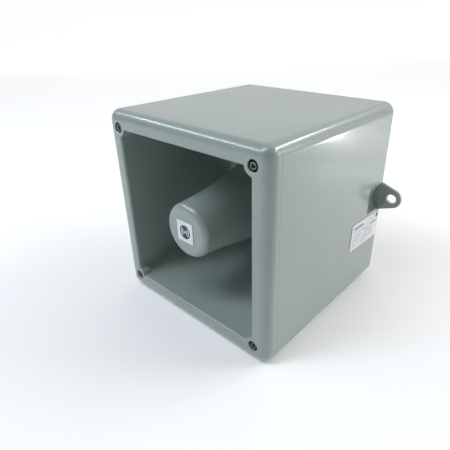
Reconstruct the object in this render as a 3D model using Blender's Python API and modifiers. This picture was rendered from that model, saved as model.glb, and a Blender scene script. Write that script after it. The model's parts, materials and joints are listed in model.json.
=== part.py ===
"""Square electronic alarm horn: a deep wall box, the flared horn that closes it, and the sounder inside.

Frame: +Z up, the mouth faces -Y, and the origin is under the middle of the box, on what it stands on.
Places along the siren are given as a depth, which is 0 at the mouth's face and grows towards the wall.
"""

import math

import bmesh
import bpy

# Driving sizes, in metres.
WIDTH = 0.200  # across the front, and its height
DEPTH = 0.194  # from the mouth's face to the wall
DRAFT = 0.0036  # how far each side has leaned in by the back
EDGE_RADIUS = 0.0105  # the four edges that run front to back
FRONT_RADIUS = 0.0095  # the edge round the front face
WALL = 0.0035
GAP = 0.0004  # between pieces that touch

# The horn: rim, flare and tongue.
RIM_DEPTH = 0.013  # the horn's outer skirt, which ends at the seam with the box
RIM_WIDTH = 0.018  # from the outside to the mouth
MOUTH_CORNER = 0.004
LIP_RADIUS = 0.0022
FLOOR_HALF = 0.060  # where the floor begins
FLARE_POWER = 4.0  # how late the sides turn in to the floor
CORNER_POWER = 2.0  # how late the corners turn round
FLARE_WALL = 0.003
TONGUE_WALL = 0.0022
TONGUE_LENGTH = 0.011  # how far the locating tongue goes into the box
TUBE_ROOM = 0.0007  # between the throat tube and its hole
GASKET_SIDE = 0.0026  # the square seal round the tongue

# Corner screws and what they go through.
SCREW_OUT = 0.0018  # how far outside the mouth's side lines each screw is
SCREW_RADIUS = 0.0025
SCREW_HEAD_RADIUS = 0.0043
SCREW_HEAD = 0.005
SCREW_SINK = 0.0008  # from the face to the screw's head
HEAD_ROOM = 0.0006  # round the head
HEAD_WALL = 0.0039  # of the column round the head's recess
HEAD_FLOOR = 0.0033  # of the column behind the head
COLUMN_WALL = 0.002  # of the column round the screw's shank
INSERT_WALL = 0.0013
INSERT_LENGTH = 0.012
PILLAR_WALL = 0.0016
PILLAR_BACK = 0.010  # of the pillar behind its insert
PILLAR_ROOM = 0.0015  # between a pillar and the flare's corner

# The bullet in the middle of the mouth.
BULLET_FRONT = 0.003
BULLET_RADIUS = 0.027
BULLET_EDGE = 0.006
BULLET_SLOPE = 0.0493
BULLET_CURVE = 1.135
TURN_ROOM = 0.020  # from the bullet's open end to the floor of the flare
BULLET_WALL = 0.0025
LEG_HALF = 0.0042
LEG_THREAD = 0.008  # how far a screw goes into a leg
SMALL_SCREW = 0.0015
SMALL_HEAD = 0.0026

# Throat tube and driver, each piece starting where the one before it ends.
TUBE_MOUTH = 0.032
TUBE_MOUTH_RADIUS = 0.0165
TUBE_RADIUS = 0.0118
TUBE_WALL = 0.0018
TUBE_FLANGE = (0.0245, 0.0022)  # radius, thickness
DRIVER_RADIUS = 0.0335
DRIVER_THROAT = 0.0095
GASKET = 0.0010
COVER = 0.006
EAR_RADIUS = 0.0048
EAR_OUT = 0.0041  # how far outside the driver each ear's screw is
DOME_RADIUS = 0.0155
DOME_HEIGHT = 0.0035
DIAPHRAGM = 0.0006
COIL = 0.0009
COIL_LENGTH = 0.0062
SURROUND = 0.0009
PLATE = 0.005
MAGNET = 0.015
MAGNET_IN = 0.0015  # how much wider the magnet's hole is than the plate's, and the yoke narrower
VENT_RADIUS = 0.004
COIL_ROOM = 0.00085  # between the pole and the coil
YOKE_ROOM = 0.0043  # between the driver and the board

# The box: back, lugs, scoops, cable entries and board.
BACK_WALL = 0.004
BACK_RADIUS = 0.0015
LUG_REACH = 0.0126  # from the box's side to each wall-fixing hole
LUG_HOLE = 0.005
LUG_WALL = 0.005  # round its hole
LUG_ROOT_HALF = 0.0142
LUG_THICKNESS = 0.004
SCOOP_RADIUS = 0.0186
SCOOP_LENGTH = 0.026
SCOOP_ROUND = 0.006
ENTRY_RADIUS = 0.0100
ENTRY_TO_WALL = 0.036
ENTRY_RISE = 0.055  # of each cable entry above and below the middle
PLUG_BRIM = 0.0038  # how far a plug's corners reach past its hole
PLUG_HEIGHT = 0.0045
PLUG_TAIL = 0.004  # how far a plug reaches past the wall
PLUG_SEAL = 0.0015
SEAL_IN = 0.001  # how much smaller a seal is than its plug's corners
BOARD = 0.0016
BOARD_ROOM = 0.0189  # from the board's edge to the wall
BOARD_SCREW_IN = 0.008  # from the board's edge to its screws
BOSS_RADIUS = 0.0045
BOSS_LENGTH = 0.0068
LABEL_SIZE = (0.0585, 0.0300, 0.0003)
LABEL_EDGE = 0.00125  # from the label to the box's back
LABEL_BELOW = 0.00112  # from the trough to the label
LABEL_LEAN = math.radians(-2.5)
BADGE_SIZE = (0.0235, 0.0004)
SPEAKER_OUT = 0.0165  # how far above the driver its lead's plug is
SPEAKER_X = 0.016

# On the board. Places are (x, height) in from its edges; sizes are (x, height, how far it stands out).
TERMINAL_UP = 0.012
TERMINAL_SIZE = (0.045, 0.012, 0.013)
TERMINAL_WAYS = 6
TERMINAL_PITCH = 0.0075
TERMINAL_SCREW = (0.0022, 0.003)  # radius, depth
WIRE_HOLE = (0.0038, 0.0038)
CORE_PLACE = (0.025, 0.028)
CORE_SIZE = (0.034, 0.028, 0.024)
WINDING_SIZE = (0.024, 0.036, 0.018)
WINDING_ROUND = 0.002
CAN_PLACES = [(0.030, 0.026), (0.012, 0.026)]
CAN_RADIUS = 0.0078
CAN_LENGTH = 0.0248
CAN_EDGE = 0.0008
SINK_PLACE = (0.012, 0.044)
SINK_SIZE = (0.014, 0.034, 0.022)
SINK_SLOTS = 4
SINK_PITCH = 0.0084
SINK_SLOT = 0.0044
SINK_BACK = 0.003
JACK_IN = 0.010
JACK_HEIGHT = 0.004  # from the middle
JACK_SIZE = (0.014, 0.007, 0.006)
JACK_HOLE = (0.0018, 0.010)  # radius, depth
RIBBON_PLACE = (0.056, 0.010)
RIBBON_SIZE = (0.028, 0.009, 0.009)
RIBBON_WALL = (0.0015, 0.0017, 0.002)
SPEAKER_SIZE = (0.0105, 0.0075, 0.0075)
SPEAKER_WALL = (0.00105, 0.00085, 0.0035)
SPEAKER_PLUG = (0.007, 0.0044, 0.0085)  # its last size is its length
SPEAKER_GRIP = 0.0056  # how far the plug stands out of its header
VOLUME_PLACE = (0.034, 0.034)
VOLUME_SIZE = (0.0098, 0.0098, 0.0050)
ROTOR_RADIUS = 0.0036
ROTOR_WELL = 0.002
ROTOR_OUT = 0.0006
ROTOR_SLOT = (0.001, 0.0012)  # width, depth
BUTTON_PLACES = [
    ("record_button", (0.012, 0.024), "red_plastic"),
    ("play_button", (0.012, 0.038), "white_plastic"),
]
BUTTON_SIZE = (0.0062, 0.0062, 0.0035)
BUTTON_RADIUS = 0.0017
BUTTON_WELL = 0.0012
BUTTON_OUT = 0.0020
BUTTON_TRAVEL = 0.0004
SWITCH_PLACE = (0.034, 0.018)
SWITCH_SIZE = (0.0145, 0.0100, 0.0045)
SWITCH_WAYS = 5
SWITCH_PITCH = 0.00254
SWITCH_WELL = (0.0018, 0.0052, 0.0012)
SWITCH_OUT = 0.0006
SWITCH_TRAVEL = 0.0022

LEAD_RADIUS = 0.0013
LEAD_RISE = 0.0046  # how far the lead leaves the driver before it turns

MIDDLE = WIDTH / 2 - DRAFT * FRONT_RADIUS / DEPTH  # the axis, with the rim standing on the floor
MOUTH_HALF = WIDTH / 2 - RIM_WIDTH
SCREW_HALF = MOUTH_HALF + SCREW_OUT
SCREW_PLACES = [(x * SCREW_HALF, z * SCREW_HALF) for x in (-1, 1) for z in (-1, 1)]
COUNTERBORE_RADIUS = SCREW_HEAD_RADIUS + HEAD_ROOM
COUNTERBORE = SCREW_SINK + SCREW_HEAD + GAP
COLUMN_RADIUS = COUNTERBORE_RADIUS + HEAD_WALL
COLUMN_HEAD = COUNTERBORE + HEAD_FLOOR
INSERT_RADIUS = SCREW_RADIUS + GAP + INSERT_WALL
PILLAR_RADIUS = INSERT_RADIUS + GAP + PILLAR_WALL
PILLAR_LENGTH = INSERT_LENGTH + PILLAR_BACK
POLE_RADIUS = DOME_RADIUS - COIL / 2 - COIL_ROOM
TUBE_HOLE = TUBE_RADIUS + TUBE_ROOM

# Depths, from the wall forwards.
BACK_FLOOR = DEPTH - BACK_WALL
BOARD_BACK = BACK_FLOOR - BOSS_LENGTH
BOARD_FRONT = BOARD_BACK - GAP - BOARD
YOKE_FRONT = BOARD_FRONT - YOKE_ROOM - PLATE
MAGNET_FRONT = YOKE_FRONT - GAP - MAGNET
PLATE_FRONT = MAGNET_FRONT - GAP - PLATE
COVER_BACK = PLATE_FRONT - GAP - SURROUND - GAP
COVER_FRONT = COVER_BACK - COVER
DRIVER_FRONT = COVER_FRONT - GAP - GASKET
HORN_BACK = DRIVER_FRONT - GAP - TUBE_FLANGE[1] - GAP
FLARE_DEPTH = HORN_BACK - FLARE_WALL
BULLET_END = FLARE_DEPTH - TURN_ROOM
ENTRY_DEPTH = DEPTH - ENTRY_TO_WALL

# Places across the siren.
BACK_HALF = WIDTH / 2 - DRAFT
LUG_HOLE_AT = BACK_HALF + LUG_REACH
LUG_END = LUG_HOLE + LUG_WALL
TROUGH_HALF = math.sqrt(SCOOP_RADIUS**2 - LUG_REACH**2)  # where the trough meets the box's side
LABEL_HEIGHT = -(TROUGH_HALF + LABEL_BELOW + LABEL_SIZE[1] / 2)
PLUG_RADIUS = ENTRY_RADIUS + PLUG_BRIM
BOARD_HALF = BACK_HALF - WALL - BOARD_ROOM
BOARD_SCREW_HALF = BOARD_HALF - BOARD_SCREW_IN
EAR_AT = DRIVER_RADIUS + EAR_OUT  # from the axis to the screws of the ears and of the legs
SPEAKER_PLACE = (SPEAKER_X, DRIVER_RADIUS + SPEAKER_OUT)

ROUND_STEPS = 40
SMALL_STEPS = 20

MATERIALS = {
    "housing": ((0.47, 0.54, 0.51), 0.25, 0.0),
    "label": ((0.85, 0.86, 0.88), 0.4, 0.0),
    "dark_screw": ((0.10, 0.10, 0.10), 0.35, 0.9),
    "steel": ((0.60, 0.60, 0.58), 0.35, 1.0),
    "brass": ((0.72, 0.55, 0.25), 0.35, 1.0),
    "rubber": ((0.04, 0.04, 0.04), 0.8, 0.0),
    "black_plastic": ((0.05, 0.05, 0.05), 0.5, 0.0),
    "ferrite": ((0.12, 0.12, 0.13), 0.6, 0.2),
    "diaphragm": ((0.55, 0.36, 0.16), 0.4, 0.0),
    "copper": ((0.72, 0.36, 0.18), 0.35, 1.0),
    "board": ((0.03, 0.22, 0.10), 0.45, 0.0),
    "cream_plastic": ((0.78, 0.74, 0.60), 0.5, 0.0),
    "aluminium": ((0.72, 0.73, 0.74), 0.4, 1.0),
    "red_plastic": ((0.60, 0.05, 0.04), 0.45, 0.0),
    "white_plastic": ((0.82, 0.82, 0.80), 0.45, 0.0),
}


def clear_scene():
    for obj in list(bpy.data.objects):
        bpy.data.objects.remove(obj)


def new_collection(name):
    collection = bpy.data.collections.new(name)
    bpy.context.scene.collection.children.link(collection)
    return collection


clear_scene()
PARTS = new_collection("alarm_siren")
HELPERS = new_collection("cutters")


def y_at(depth):
    """Where a depth lies along Y."""
    return depth - DEPTH / 2


def half_at(depth):
    """Half the box's width and height at a depth: its sides lean in towards the wall."""
    return WIDTH / 2 - DRAFT * depth / DEPTH


def material(name):
    found = bpy.data.materials.get(name)
    if found:
        return found
    colour, roughness, metallic = MATERIALS[name]
    made = bpy.data.materials.new(name)
    made.use_nodes = True
    shader = made.node_tree.nodes["Principled BSDF"]
    shader.inputs["Base Color"].default_value = (*colour, 1.0)
    shader.inputs["Roughness"].default_value = roughness
    shader.inputs["Metallic"].default_value = metallic
    return made


def add_object(name, mesh, finish=None):
    """A part of the siren in its finish or, with no finish, a helper that is only cut with or joined on."""
    obj = bpy.data.objects.new(name, mesh)
    if finish:
        PARTS.objects.link(obj)
        mesh.materials.append(material(finish))
    else:
        HELPERS.objects.link(obj)
        obj.hide_render = True
        obj.display_type = "WIRE"
    return obj


def mesh_from(name, shape):
    """Turns a bmesh into a mesh with smooth round faces and sharp edges."""
    bmesh.ops.recalc_face_normals(shape, faces=shape.faces)
    mesh = bpy.data.meshes.new(name)
    shape.to_mesh(mesh)
    shape.free()
    mesh.shade_smooth()
    mesh.set_sharp_from_angle(angle=math.radians(35))
    return mesh


def boolean(target, other, operation):
    modifier = target.modifiers.new(f"{operation.lower()}_{other.name}", "BOOLEAN")
    modifier.operation = operation
    modifier.object = other
    return target


def cut(target, *others):
    for other in others:
        boolean(target, other, "DIFFERENCE")


def join(target, *others):
    for other in others:
        boolean(target, other, "UNION")


def block(name, low, high, finish=None, round_edges=0.0):
    """A box between two corners given as (x, depth, height from the middle)."""
    shape = bmesh.new()
    bmesh.ops.create_cube(shape, size=1.0)
    size = [b - a for a, b in zip(low, high)]
    centre = [(a + b) / 2 for a, b in zip(low, high)]
    bmesh.ops.scale(shape, vec=size, verts=shape.verts)
    if round_edges:
        bmesh.ops.bevel(
            shape, geom=shape.edges[:], offset=round_edges, segments=2, profile=0.5, affect="EDGES"
        )
    obj = add_object(name, mesh_from(name, shape), finish)
    obj.location = (centre[0], y_at(centre[1]), MIDDLE + centre[2])
    return obj


def drafted_box(name, halves, depths, corner, finish=None, front_round=0.0, back_round=0.0):
    """A square box whose half width goes from halves[0] to halves[1] between two depths."""
    shape = bmesh.new()
    bmesh.ops.create_cube(shape, size=2.0)
    for vert in shape.verts:
        end = 1 if vert.co.y > 0 else 0
        vert.co.x *= halves[end]
        vert.co.z *= halves[end]
        vert.co.y = y_at(depths[end])
    along = [e for e in shape.edges if abs(e.verts[0].co.y - e.verts[1].co.y) > 1e-6]
    bmesh.ops.bevel(shape, geom=along, offset=corner, segments=6, profile=0.5, affect="EDGES")
    for depth, radius in zip(depths, (front_round, back_round)):
        loop = [e for e in shape.edges if all(abs(v.co.y - y_at(depth)) < 1e-6 for v in e.verts)]
        if radius:
            bmesh.ops.bevel(shape, geom=loop, offset=radius, segments=5, profile=0.5, affect="EDGES")
    obj = add_object(name, mesh_from(name, shape), finish)
    obj.location.z = MIDDLE
    return obj


def turned(name, profile, finish=None, place=(0.0, 0.0), steps=ROUND_STEPS):
    """Turns a closed profile of (radius, depth) round an axis along Y. Its outer side runs to the front."""
    mesh = bpy.data.meshes.new(name)
    count = len(profile)
    edges = [(i, (i + 1) % count) for i in range(count)]
    turning = [(a, b) for a, b in edges if profile[a][0] > 0 or profile[b][0] > 0]
    mesh.from_pydata([(r, 0.0, d) for r, d in profile], turning, [])
    obj = add_object(name, mesh, finish)
    screw = obj.modifiers.new("turn", "SCREW")
    screw.axis = "Z"
    screw.steps = steps
    screw.render_steps = steps
    screw.use_merge_vertices = True
    screw.merge_threshold = 0.00001
    screw.use_smooth_shade = True
    obj.rotation_euler.x = -math.pi / 2
    obj.location = (place[0], y_at(0.0), MIDDLE + place[1])
    return obj


def rod(name, radius, start, end, place=(0.0, 0.0), finish=None, steps=SMALL_STEPS):
    """A plain cylinder between two depths."""
    profile = [(0.0, end), (radius, end), (radius, start), (0.0, start)]
    return turned(name, profile, finish, place, steps)


def ring(name, inner, outer, start, end, finish, place=(0.0, 0.0), steps=ROUND_STEPS):
    """A plain washer or tube between two depths."""
    profile = [(outer, end), (outer, start), (inner, start), (inner, end)]
    return turned(name, profile, finish, place, steps)


def across(name, radius, x_range, depth, height, finish=None, steps=24):
    """A cylinder, or a prism of a few steps, that lies along X."""
    shape = bmesh.new()
    bmesh.ops.create_cone(
        shape, cap_ends=True, segments=steps, radius1=radius, radius2=radius, depth=x_range[1] - x_range[0]
    )
    obj = add_object(name, mesh_from(name, shape), finish)
    obj.rotation_euler.y = math.pi / 2
    obj.location = (sum(x_range) / 2, y_at(depth), MIDDLE + height)
    return obj


# The flare: a square mouth that turns round as it nears its floor.


def flare_section(share, offset=0.0):
    """Half width and corner radius of the flare at a share of its depth, moved outwards by offset."""
    half = FLOOR_HALF + (MOUTH_HALF - FLOOR_HALF) * math.sqrt(1 - share**FLARE_POWER)
    corner = MOUTH_CORNER + (half - GAP - MOUTH_CORNER) * share**CORNER_POWER
    return half + offset, corner + offset


def column_length():
    """The screw columns end, and the pillars begin, where the flare's corner leaves room for a pillar."""
    depth = COLUMN_HEAD
    while True:
        half, corner = flare_section(depth / HORN_BACK, FLARE_WALL)
        room = math.hypot(SCREW_HALF - half + corner, SCREW_HALF - half + corner) - corner
        if room > PILLAR_RADIUS + PILLAR_ROOM:
            return depth
        depth += GAP


def section_points(half, corner, per_corner=7):
    """Points round a square with round corners, as (x, height from the middle)."""
    points = []
    for quarter in range(4):
        cx = (half - corner) * (1 if quarter in (0, 3) else -1)
        cz = (half - corner) * (1 if quarter < 2 else -1)
        for step in range(per_corner + 1):
            angle = (quarter + step / per_corner) * math.pi / 2
            points.append((cx + corner * math.cos(angle), cz + corner * math.sin(angle)))
    return points


def flare_stations(offset, start, count=11):
    """(half, corner, depth) from start to the floor, closer together where the sides turn in."""
    end = FLARE_DEPTH + offset
    stations = []
    for step in range(count + 1):
        share = 1 - (1 - start / end) * (1 - step / count) ** 2
        stations.append((*flare_section(share, offset), share * end))
    return stations


COLUMN_LENGTH = column_length()


def loft(name, stations, finish=None):
    """A closed solid through square sections that turn round: no primitive or modifier makes one."""
    shape = bmesh.new()
    rings = []
    for half, corner, depth in stations:
        rings.append([shape.verts.new((x, y_at(depth), z)) for x, z in section_points(half, corner)])
    count = len(rings[0])
    for a, b in zip(rings, rings[1:]):
        for i in range(count):
            shape.faces.new((a[i], a[(i + 1) % count], b[(i + 1) % count], b[i]))
    shape.faces.new(rings[0])
    shape.faces.new(rings[-1])
    obj = add_object(name, mesh_from(name, shape), finish)
    obj.location.z = MIDDLE
    return obj


def mouth_cutter():
    """The air inside the flare, with the round lip at its front."""
    half, corner = flare_section(LIP_RADIUS / FLARE_DEPTH)
    lip = []
    for step in range(4):
        angle = step * math.pi / 6
        out = LIP_RADIUS * (1 - math.sin(angle))
        lip.append((half + out, corner + out, LIP_RADIUS * (1 - math.cos(angle))))
    front = (half + LIP_RADIUS + GAP, corner + LIP_RADIUS + GAP, -2 * GAP)
    return loft("mouth_air", [front, *lip[1:3], *flare_stations(0.0, LIP_RADIUS)])


def horn_flare():
    """Rim, flare and the screw columns in one moulding."""
    rim_halves = (half_at(0.0), half_at(RIM_DEPTH))
    horn = drafted_box(
        "horn_flare", rim_halves, (0.0, RIM_DEPTH), EDGE_RADIUS, "housing", front_round=FRONT_RADIUS
    )
    hollow = [half - WALL for half in rim_halves]
    cut(horn, drafted_box("rim_hollow", hollow, (WALL, RIM_DEPTH + WALL), EDGE_RADIUS - WALL))

    outside, inside = tongue_halves()
    tongue_depths = (WALL - GAP, RIM_DEPTH + TONGUE_LENGTH)
    tongue = drafted_box("tongue", (outside, outside), tongue_depths, EDGE_RADIUS - WALL)
    tongue_air = drafted_box(
        "tongue_air", (inside, inside), (0.0, DEPTH), EDGE_RADIUS - WALL - TONGUE_WALL
    )
    cut(tongue, tongue_air)
    join(horn, tongue, loft("flare_outside", flare_stations(FLARE_WALL, GAP * 3)))
    cut(horn, mouth_cutter())
    for number, place in enumerate(SCREW_PLACES, 1):
        slim = SCREW_RADIUS + GAP + COLUMN_WALL
        column = turned(
            f"screw_column_{number}",
            [(0.0, COLUMN_LENGTH), (slim, COLUMN_LENGTH), (slim, COLUMN_HEAD), (COLUMN_RADIUS, COLUMN_HEAD),
             (COLUMN_RADIUS, GAP), (COLUMN_RADIUS - GAP, -GAP / 2), (0.0, -GAP / 2)],
            place=place, steps=28,
        )
        join(horn, column)
    for number, place in enumerate(SCREW_PLACES, 1):
        screw_hole = turned(
            f"screw_hole_{number}",
            [(0.0, COLUMN_LENGTH + WALL), (SCREW_RADIUS + GAP, COLUMN_LENGTH + WALL),
             (SCREW_RADIUS + GAP, COUNTERBORE), (COUNTERBORE_RADIUS, COUNTERBORE),
             (COUNTERBORE_RADIUS, -WALL), (0.0, -WALL)],
            place=place, steps=24,
        )
        cut(horn, screw_hole)
    cut(horn, rod("tube_hole", TUBE_HOLE, FLARE_DEPTH - WALL, HORN_BACK + WALL, steps=ROUND_STEPS))
    ends = (FLARE_DEPTH - WALL, HORN_BACK + WALL)
    for number, place in enumerate([*leg_places(), *ear_places()], 1):
        cut(horn, rod(f"horn_screw_hole_{number}", SMALL_SCREW + GAP, *ends, place))


def tongue_halves():
    """Outer and inner half width of the tongue that locates the horn in the box."""
    outside = half_at(RIM_DEPTH + TONGUE_LENGTH) - WALL - GASKET_SIDE - 2 * GAP
    return outside, outside - TONGUE_WALL


def front_gasket():
    """The square seal between the horn's tongue and the box."""
    start = RIM_DEPTH + GAP
    inner = tongue_halves()[0] + GAP
    halves = (inner + GASKET_SIDE, inner + GASKET_SIDE)
    depths = (start, start + GASKET_SIDE)
    gasket = drafted_box("front_gasket", halves, depths, EDGE_RADIUS - WALL, "rubber")
    air = drafted_box("gasket_air", (inner, inner), (0.0, DEPTH / 2), EDGE_RADIUS - WALL - GASKET_SIDE)
    cut(gasket, air)


def polar(radius, degrees):
    angle = math.radians(degrees)
    return radius * math.cos(angle), radius * math.sin(angle)


def leg_places():
    """Where the bullet's three legs are screwed to the floor of the flare."""
    return [polar(EAR_AT, degrees) for degrees in (30, 150, 270)]


def ear_places():
    """Where the driver's three ears are screwed to the back of the horn."""
    return [polar(EAR_AT, degrees) for degrees in (90, 210, 330)]


# The bullet: a hollow trumpet with a closed front, held by three legs.


def bullet_radius(depth):
    run = max(depth - BULLET_FRONT - BULLET_EDGE, 0.0)
    return BULLET_RADIUS + BULLET_SLOPE * run + BULLET_CURVE * run * run


def bullet_line(offset, start, end, count):
    """(radius, depth) points down the bullet's side, from end to start, moved in by offset."""
    depths = [end + (start - end) * i / count for i in range(count + 1)]
    return [(bullet_radius(depth) - offset, depth) for depth in depths]


def rounded_front(radius, depth, edge):
    """The round edge and the flat front of a turned shell, ending on the axis."""
    points = []
    for step in range(1, 6):
        angle = step * math.pi / 10
        points.append((radius - edge * (1 - math.cos(angle)), depth + edge * (1 - math.sin(angle))))
    return [*points, (0.0, depth)]


def bullet():
    side_start = BULLET_FRONT + BULLET_EDGE
    outside = bullet_line(0.0, side_start, BULLET_END, 10)
    outside += rounded_front(BULLET_RADIUS, BULLET_FRONT, BULLET_EDGE)
    inner_edge = BULLET_EDGE - BULLET_WALL
    inside = bullet_line(BULLET_WALL, side_start, BULLET_END, 10)
    inside += rounded_front(BULLET_RADIUS - BULLET_WALL, BULLET_FRONT + BULLET_WALL, inner_edge)
    shell = turned("bullet", outside + inside[::-1], "housing", steps=48)
    low = EAR_AT - LEG_HALF
    high = max(EAR_AT + LEG_HALF, bullet_radius(BULLET_END) - BULLET_WALL / 2)
    for number, place in enumerate(leg_places(), 1):
        start = BULLET_END - LEG_HALF
        leg = block(f"leg_{number}", (low, start, -LEG_HALF), (high, FLARE_DEPTH - GAP, LEG_HALF))
        turn_about_axis(leg, place)
        join(shell, leg)
    for number, place in enumerate(leg_places(), 1):
        start = FLARE_DEPTH - LEG_THREAD - 0.001
        cut(shell, rod(f"leg_hole_{number}", SMALL_SCREW + GAP, start, FLARE_DEPTH + WALL, place))


def turn_about_axis(obj, place):
    """Swings an object that lies along +X round the horn's axis, until it points at place."""
    angle = math.atan2(place[1], place[0])
    reach = obj.location.x
    obj.rotation_euler.y = -angle
    obj.location.x = reach * math.cos(angle)
    obj.location.z = MIDDLE + reach * math.sin(angle)


def badge():
    half = BADGE_SIZE[0] / 2
    front = BULLET_FRONT - GAP / 2 - BADGE_SIZE[1]
    block("badge", (-half, front, -half), (half, front + BADGE_SIZE[1], half), "label")


def cap_screw(name, place, head_start, head, head_radius, radius, end, finish, faces_back=False):
    """A socket screw: head, shank and a six-sided socket. Its head faces the mouth, or the wall."""
    turn = -1 if faces_back else 1
    head_end = head_start + turn * head
    profile = [(0.0, end), (radius, end), (radius, head_end), (head_radius, head_end),
               (head_radius, head_start + turn * GAP), (head_radius - GAP, head_start), (0.0, head_start)]
    if faces_back:
        profile.reverse()
    screw = turned(name, profile, finish, place, SMALL_STEPS)
    mouth, floor = head_start - turn * head, head_start + turn * head * 0.55
    socket = rod(f"{name}_socket", head_radius * 0.55, min(mouth, floor), max(mouth, floor), place, steps=6)
    cut(screw, socket)


def cover_screws():
    end = COLUMN_LENGTH + INSERT_LENGTH
    for number, place in enumerate(SCREW_PLACES, 1):
        cap_screw(
            f"cover_screw_{number}", place, SCREW_SINK, SCREW_HEAD, SCREW_HEAD_RADIUS, SCREW_RADIUS, end,
            "dark_screw",
        )


# The throat tube and the driver, on the back of the horn.


def throat_tube():
    flange_front = HORN_BACK + GAP
    flange_back = flange_front + TUBE_FLANGE[1]
    turned(
        "throat_tube",
        [(TUBE_FLANGE[0], flange_back), (TUBE_FLANGE[0], flange_front), (TUBE_RADIUS, flange_front),
         (TUBE_RADIUS, FLARE_DEPTH), (TUBE_MOUTH_RADIUS, TUBE_MOUTH),
         (TUBE_MOUTH_RADIUS - TUBE_WALL, TUBE_MOUTH), (TUBE_RADIUS - TUBE_WALL, FLARE_DEPTH),
         (DRIVER_THROAT, flange_back)],
        "black_plastic",
    )


def driver():
    inner, outer = DRIVER_THROAT + GAP, DRIVER_RADIUS - GAP
    ring("driver_gasket", inner, outer, DRIVER_FRONT, DRIVER_FRONT + GASKET, "rubber")

    dome_room = DOME_RADIUS + 3 * GAP
    cover = turned(
        "driver_cover",
        [(DRIVER_RADIUS, COVER_BACK), (DRIVER_RADIUS, COVER_FRONT), (DRIVER_THROAT, COVER_FRONT),
         (DRIVER_THROAT, COVER_FRONT + COVER / 4), (dome_room, COVER_BACK - GAP), (dome_room, COVER_BACK)],
        "aluminium",
    )
    ends = (COVER_FRONT + GAP, COVER_BACK - GAP)
    for number, place in enumerate(ear_places(), 1):
        join(cover, rod(f"ear_{number}", EAR_RADIUS, *ends, place, steps=24))
    ends = (COVER_FRONT - WALL, COVER_BACK + WALL)
    for number, place in enumerate(ear_places(), 1):
        cut(cover, rod(f"ear_hole_{number}", SMALL_SCREW + GAP, *ends, place))

    front = COVER_BACK + GAP
    ring("driver_surround", dome_room + GAP, DRIVER_RADIUS, front, front + SURROUND, "diaphragm")
    coil_inner = DOME_RADIUS - COIL / 2
    gap_inner = coil_inner + COIL + 2 * GAP
    ring("top_plate", gap_inner, DRIVER_RADIUS, PLATE_FRONT, PLATE_FRONT + PLATE, "steel")
    inner, outer = gap_inner + MAGNET_IN, DRIVER_RADIUS - GAP
    ring("magnet", inner, outer, MAGNET_FRONT, MAGNET_FRONT + MAGNET, "ferrite")
    pole_front = PLATE_FRONT + 3 * GAP
    turned(
        "yoke",
        [(DRIVER_RADIUS - MAGNET_IN, YOKE_FRONT + PLATE), (DRIVER_RADIUS - MAGNET_IN, YOKE_FRONT),
         (POLE_RADIUS, YOKE_FRONT), (POLE_RADIUS, pole_front), (VENT_RADIUS, pole_front),
         (VENT_RADIUS, YOKE_FRONT + PLATE)],
        "steel",
    )
    moving_parts(coil_inner)
    for number, place in enumerate(ear_places(), 1):
        back = COVER_BACK + GAP / 2 + SMALL_HEAD
        cap_screw(
            f"driver_screw_{number}", place, back, SMALL_HEAD, SMALL_HEAD, SMALL_SCREW, FLARE_DEPTH + GAP,
            "steel", faces_back=True,
        )
    for number, place in enumerate(leg_places(), 1):
        back = HORN_BACK + GAP / 2 + SMALL_HEAD
        end = FLARE_DEPTH - LEG_THREAD
        cap_screw(
            f"bullet_screw_{number}", place, back, SMALL_HEAD, SMALL_HEAD, SMALL_SCREW, end, "steel",
            faces_back=True,
        )


def moving_parts(coil_inner):
    """The dome and the voice coil, which move together with room all round."""
    edge = PLATE_FRONT - GAP
    outside, inside = [], []
    for step in range(7):
        radius = DOME_RADIUS * (1 - step / 6)
        rise = DOME_HEIGHT * (1 - (radius / DOME_RADIUS) ** 2)
        outside.append((radius, edge - DIAPHRAGM - rise))
        inside.append((radius, edge - rise))
    turned("diaphragm", outside + inside[::-1], "diaphragm")
    ring("voice_coil", coil_inner, coil_inner + COIL, edge + GAP, edge + GAP + COIL_LENGTH, "copper")


def driver_lead():
    """The driver's lead and its plug, which pulls off the board's header as the horn comes out."""
    x, height = SPEAKER_PLACE
    wide, tall, long = SPEAKER_PLUG
    plug_front = front_of(SPEAKER_SIZE[2]) - SPEAKER_GRIP
    block("speaker_plug", (x - wide / 2, plug_front, height - tall / 2),
          (x + wide / 2, plug_front + long, height + tall / 2), "cream_plastic")
    start = PLATE_FRONT + PLATE / 2
    run = plug_front - GAP - start
    # Shares of the way across, along and up, from where the lead turns to its plug.
    bends = [(0.15, 0.12, 0.26), (0.40, 0.28, 0.65), (0.70, 0.42, 0.91), (0.93, 0.56, 1.0), (1.0, 0.75, 1.0),
             (1.0, 1.0, 1.0)]
    turn_at = DRIVER_RADIUS + GAP + LEAD_RISE
    route = [(0.0, 0.0, DRIVER_RADIUS + GAP), (0.0, 0.0, turn_at)]
    route += [(x * a, b, turn_at + (height - turn_at) * c) for a, b, c in bends]
    curve = bpy.data.curves.new("driver_lead", "CURVE")
    curve.dimensions = "3D"
    curve.bevel_depth = LEAD_RADIUS
    curve.bevel_resolution = 2
    curve.use_fill_caps = True
    line = curve.splines.new("POLY")
    line.points.add(len(route) - 1)
    for point, (px, share, pz) in zip(line.points, route):
        point.co = (px, y_at(start + share * run), MIDDLE + pz, 1.0)
    lead = bpy.data.objects.new("driver_lead", curve)
    curve.materials.append(material("red_plastic"))
    PARTS.objects.link(lead)


# The box that goes on the wall.


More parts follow.
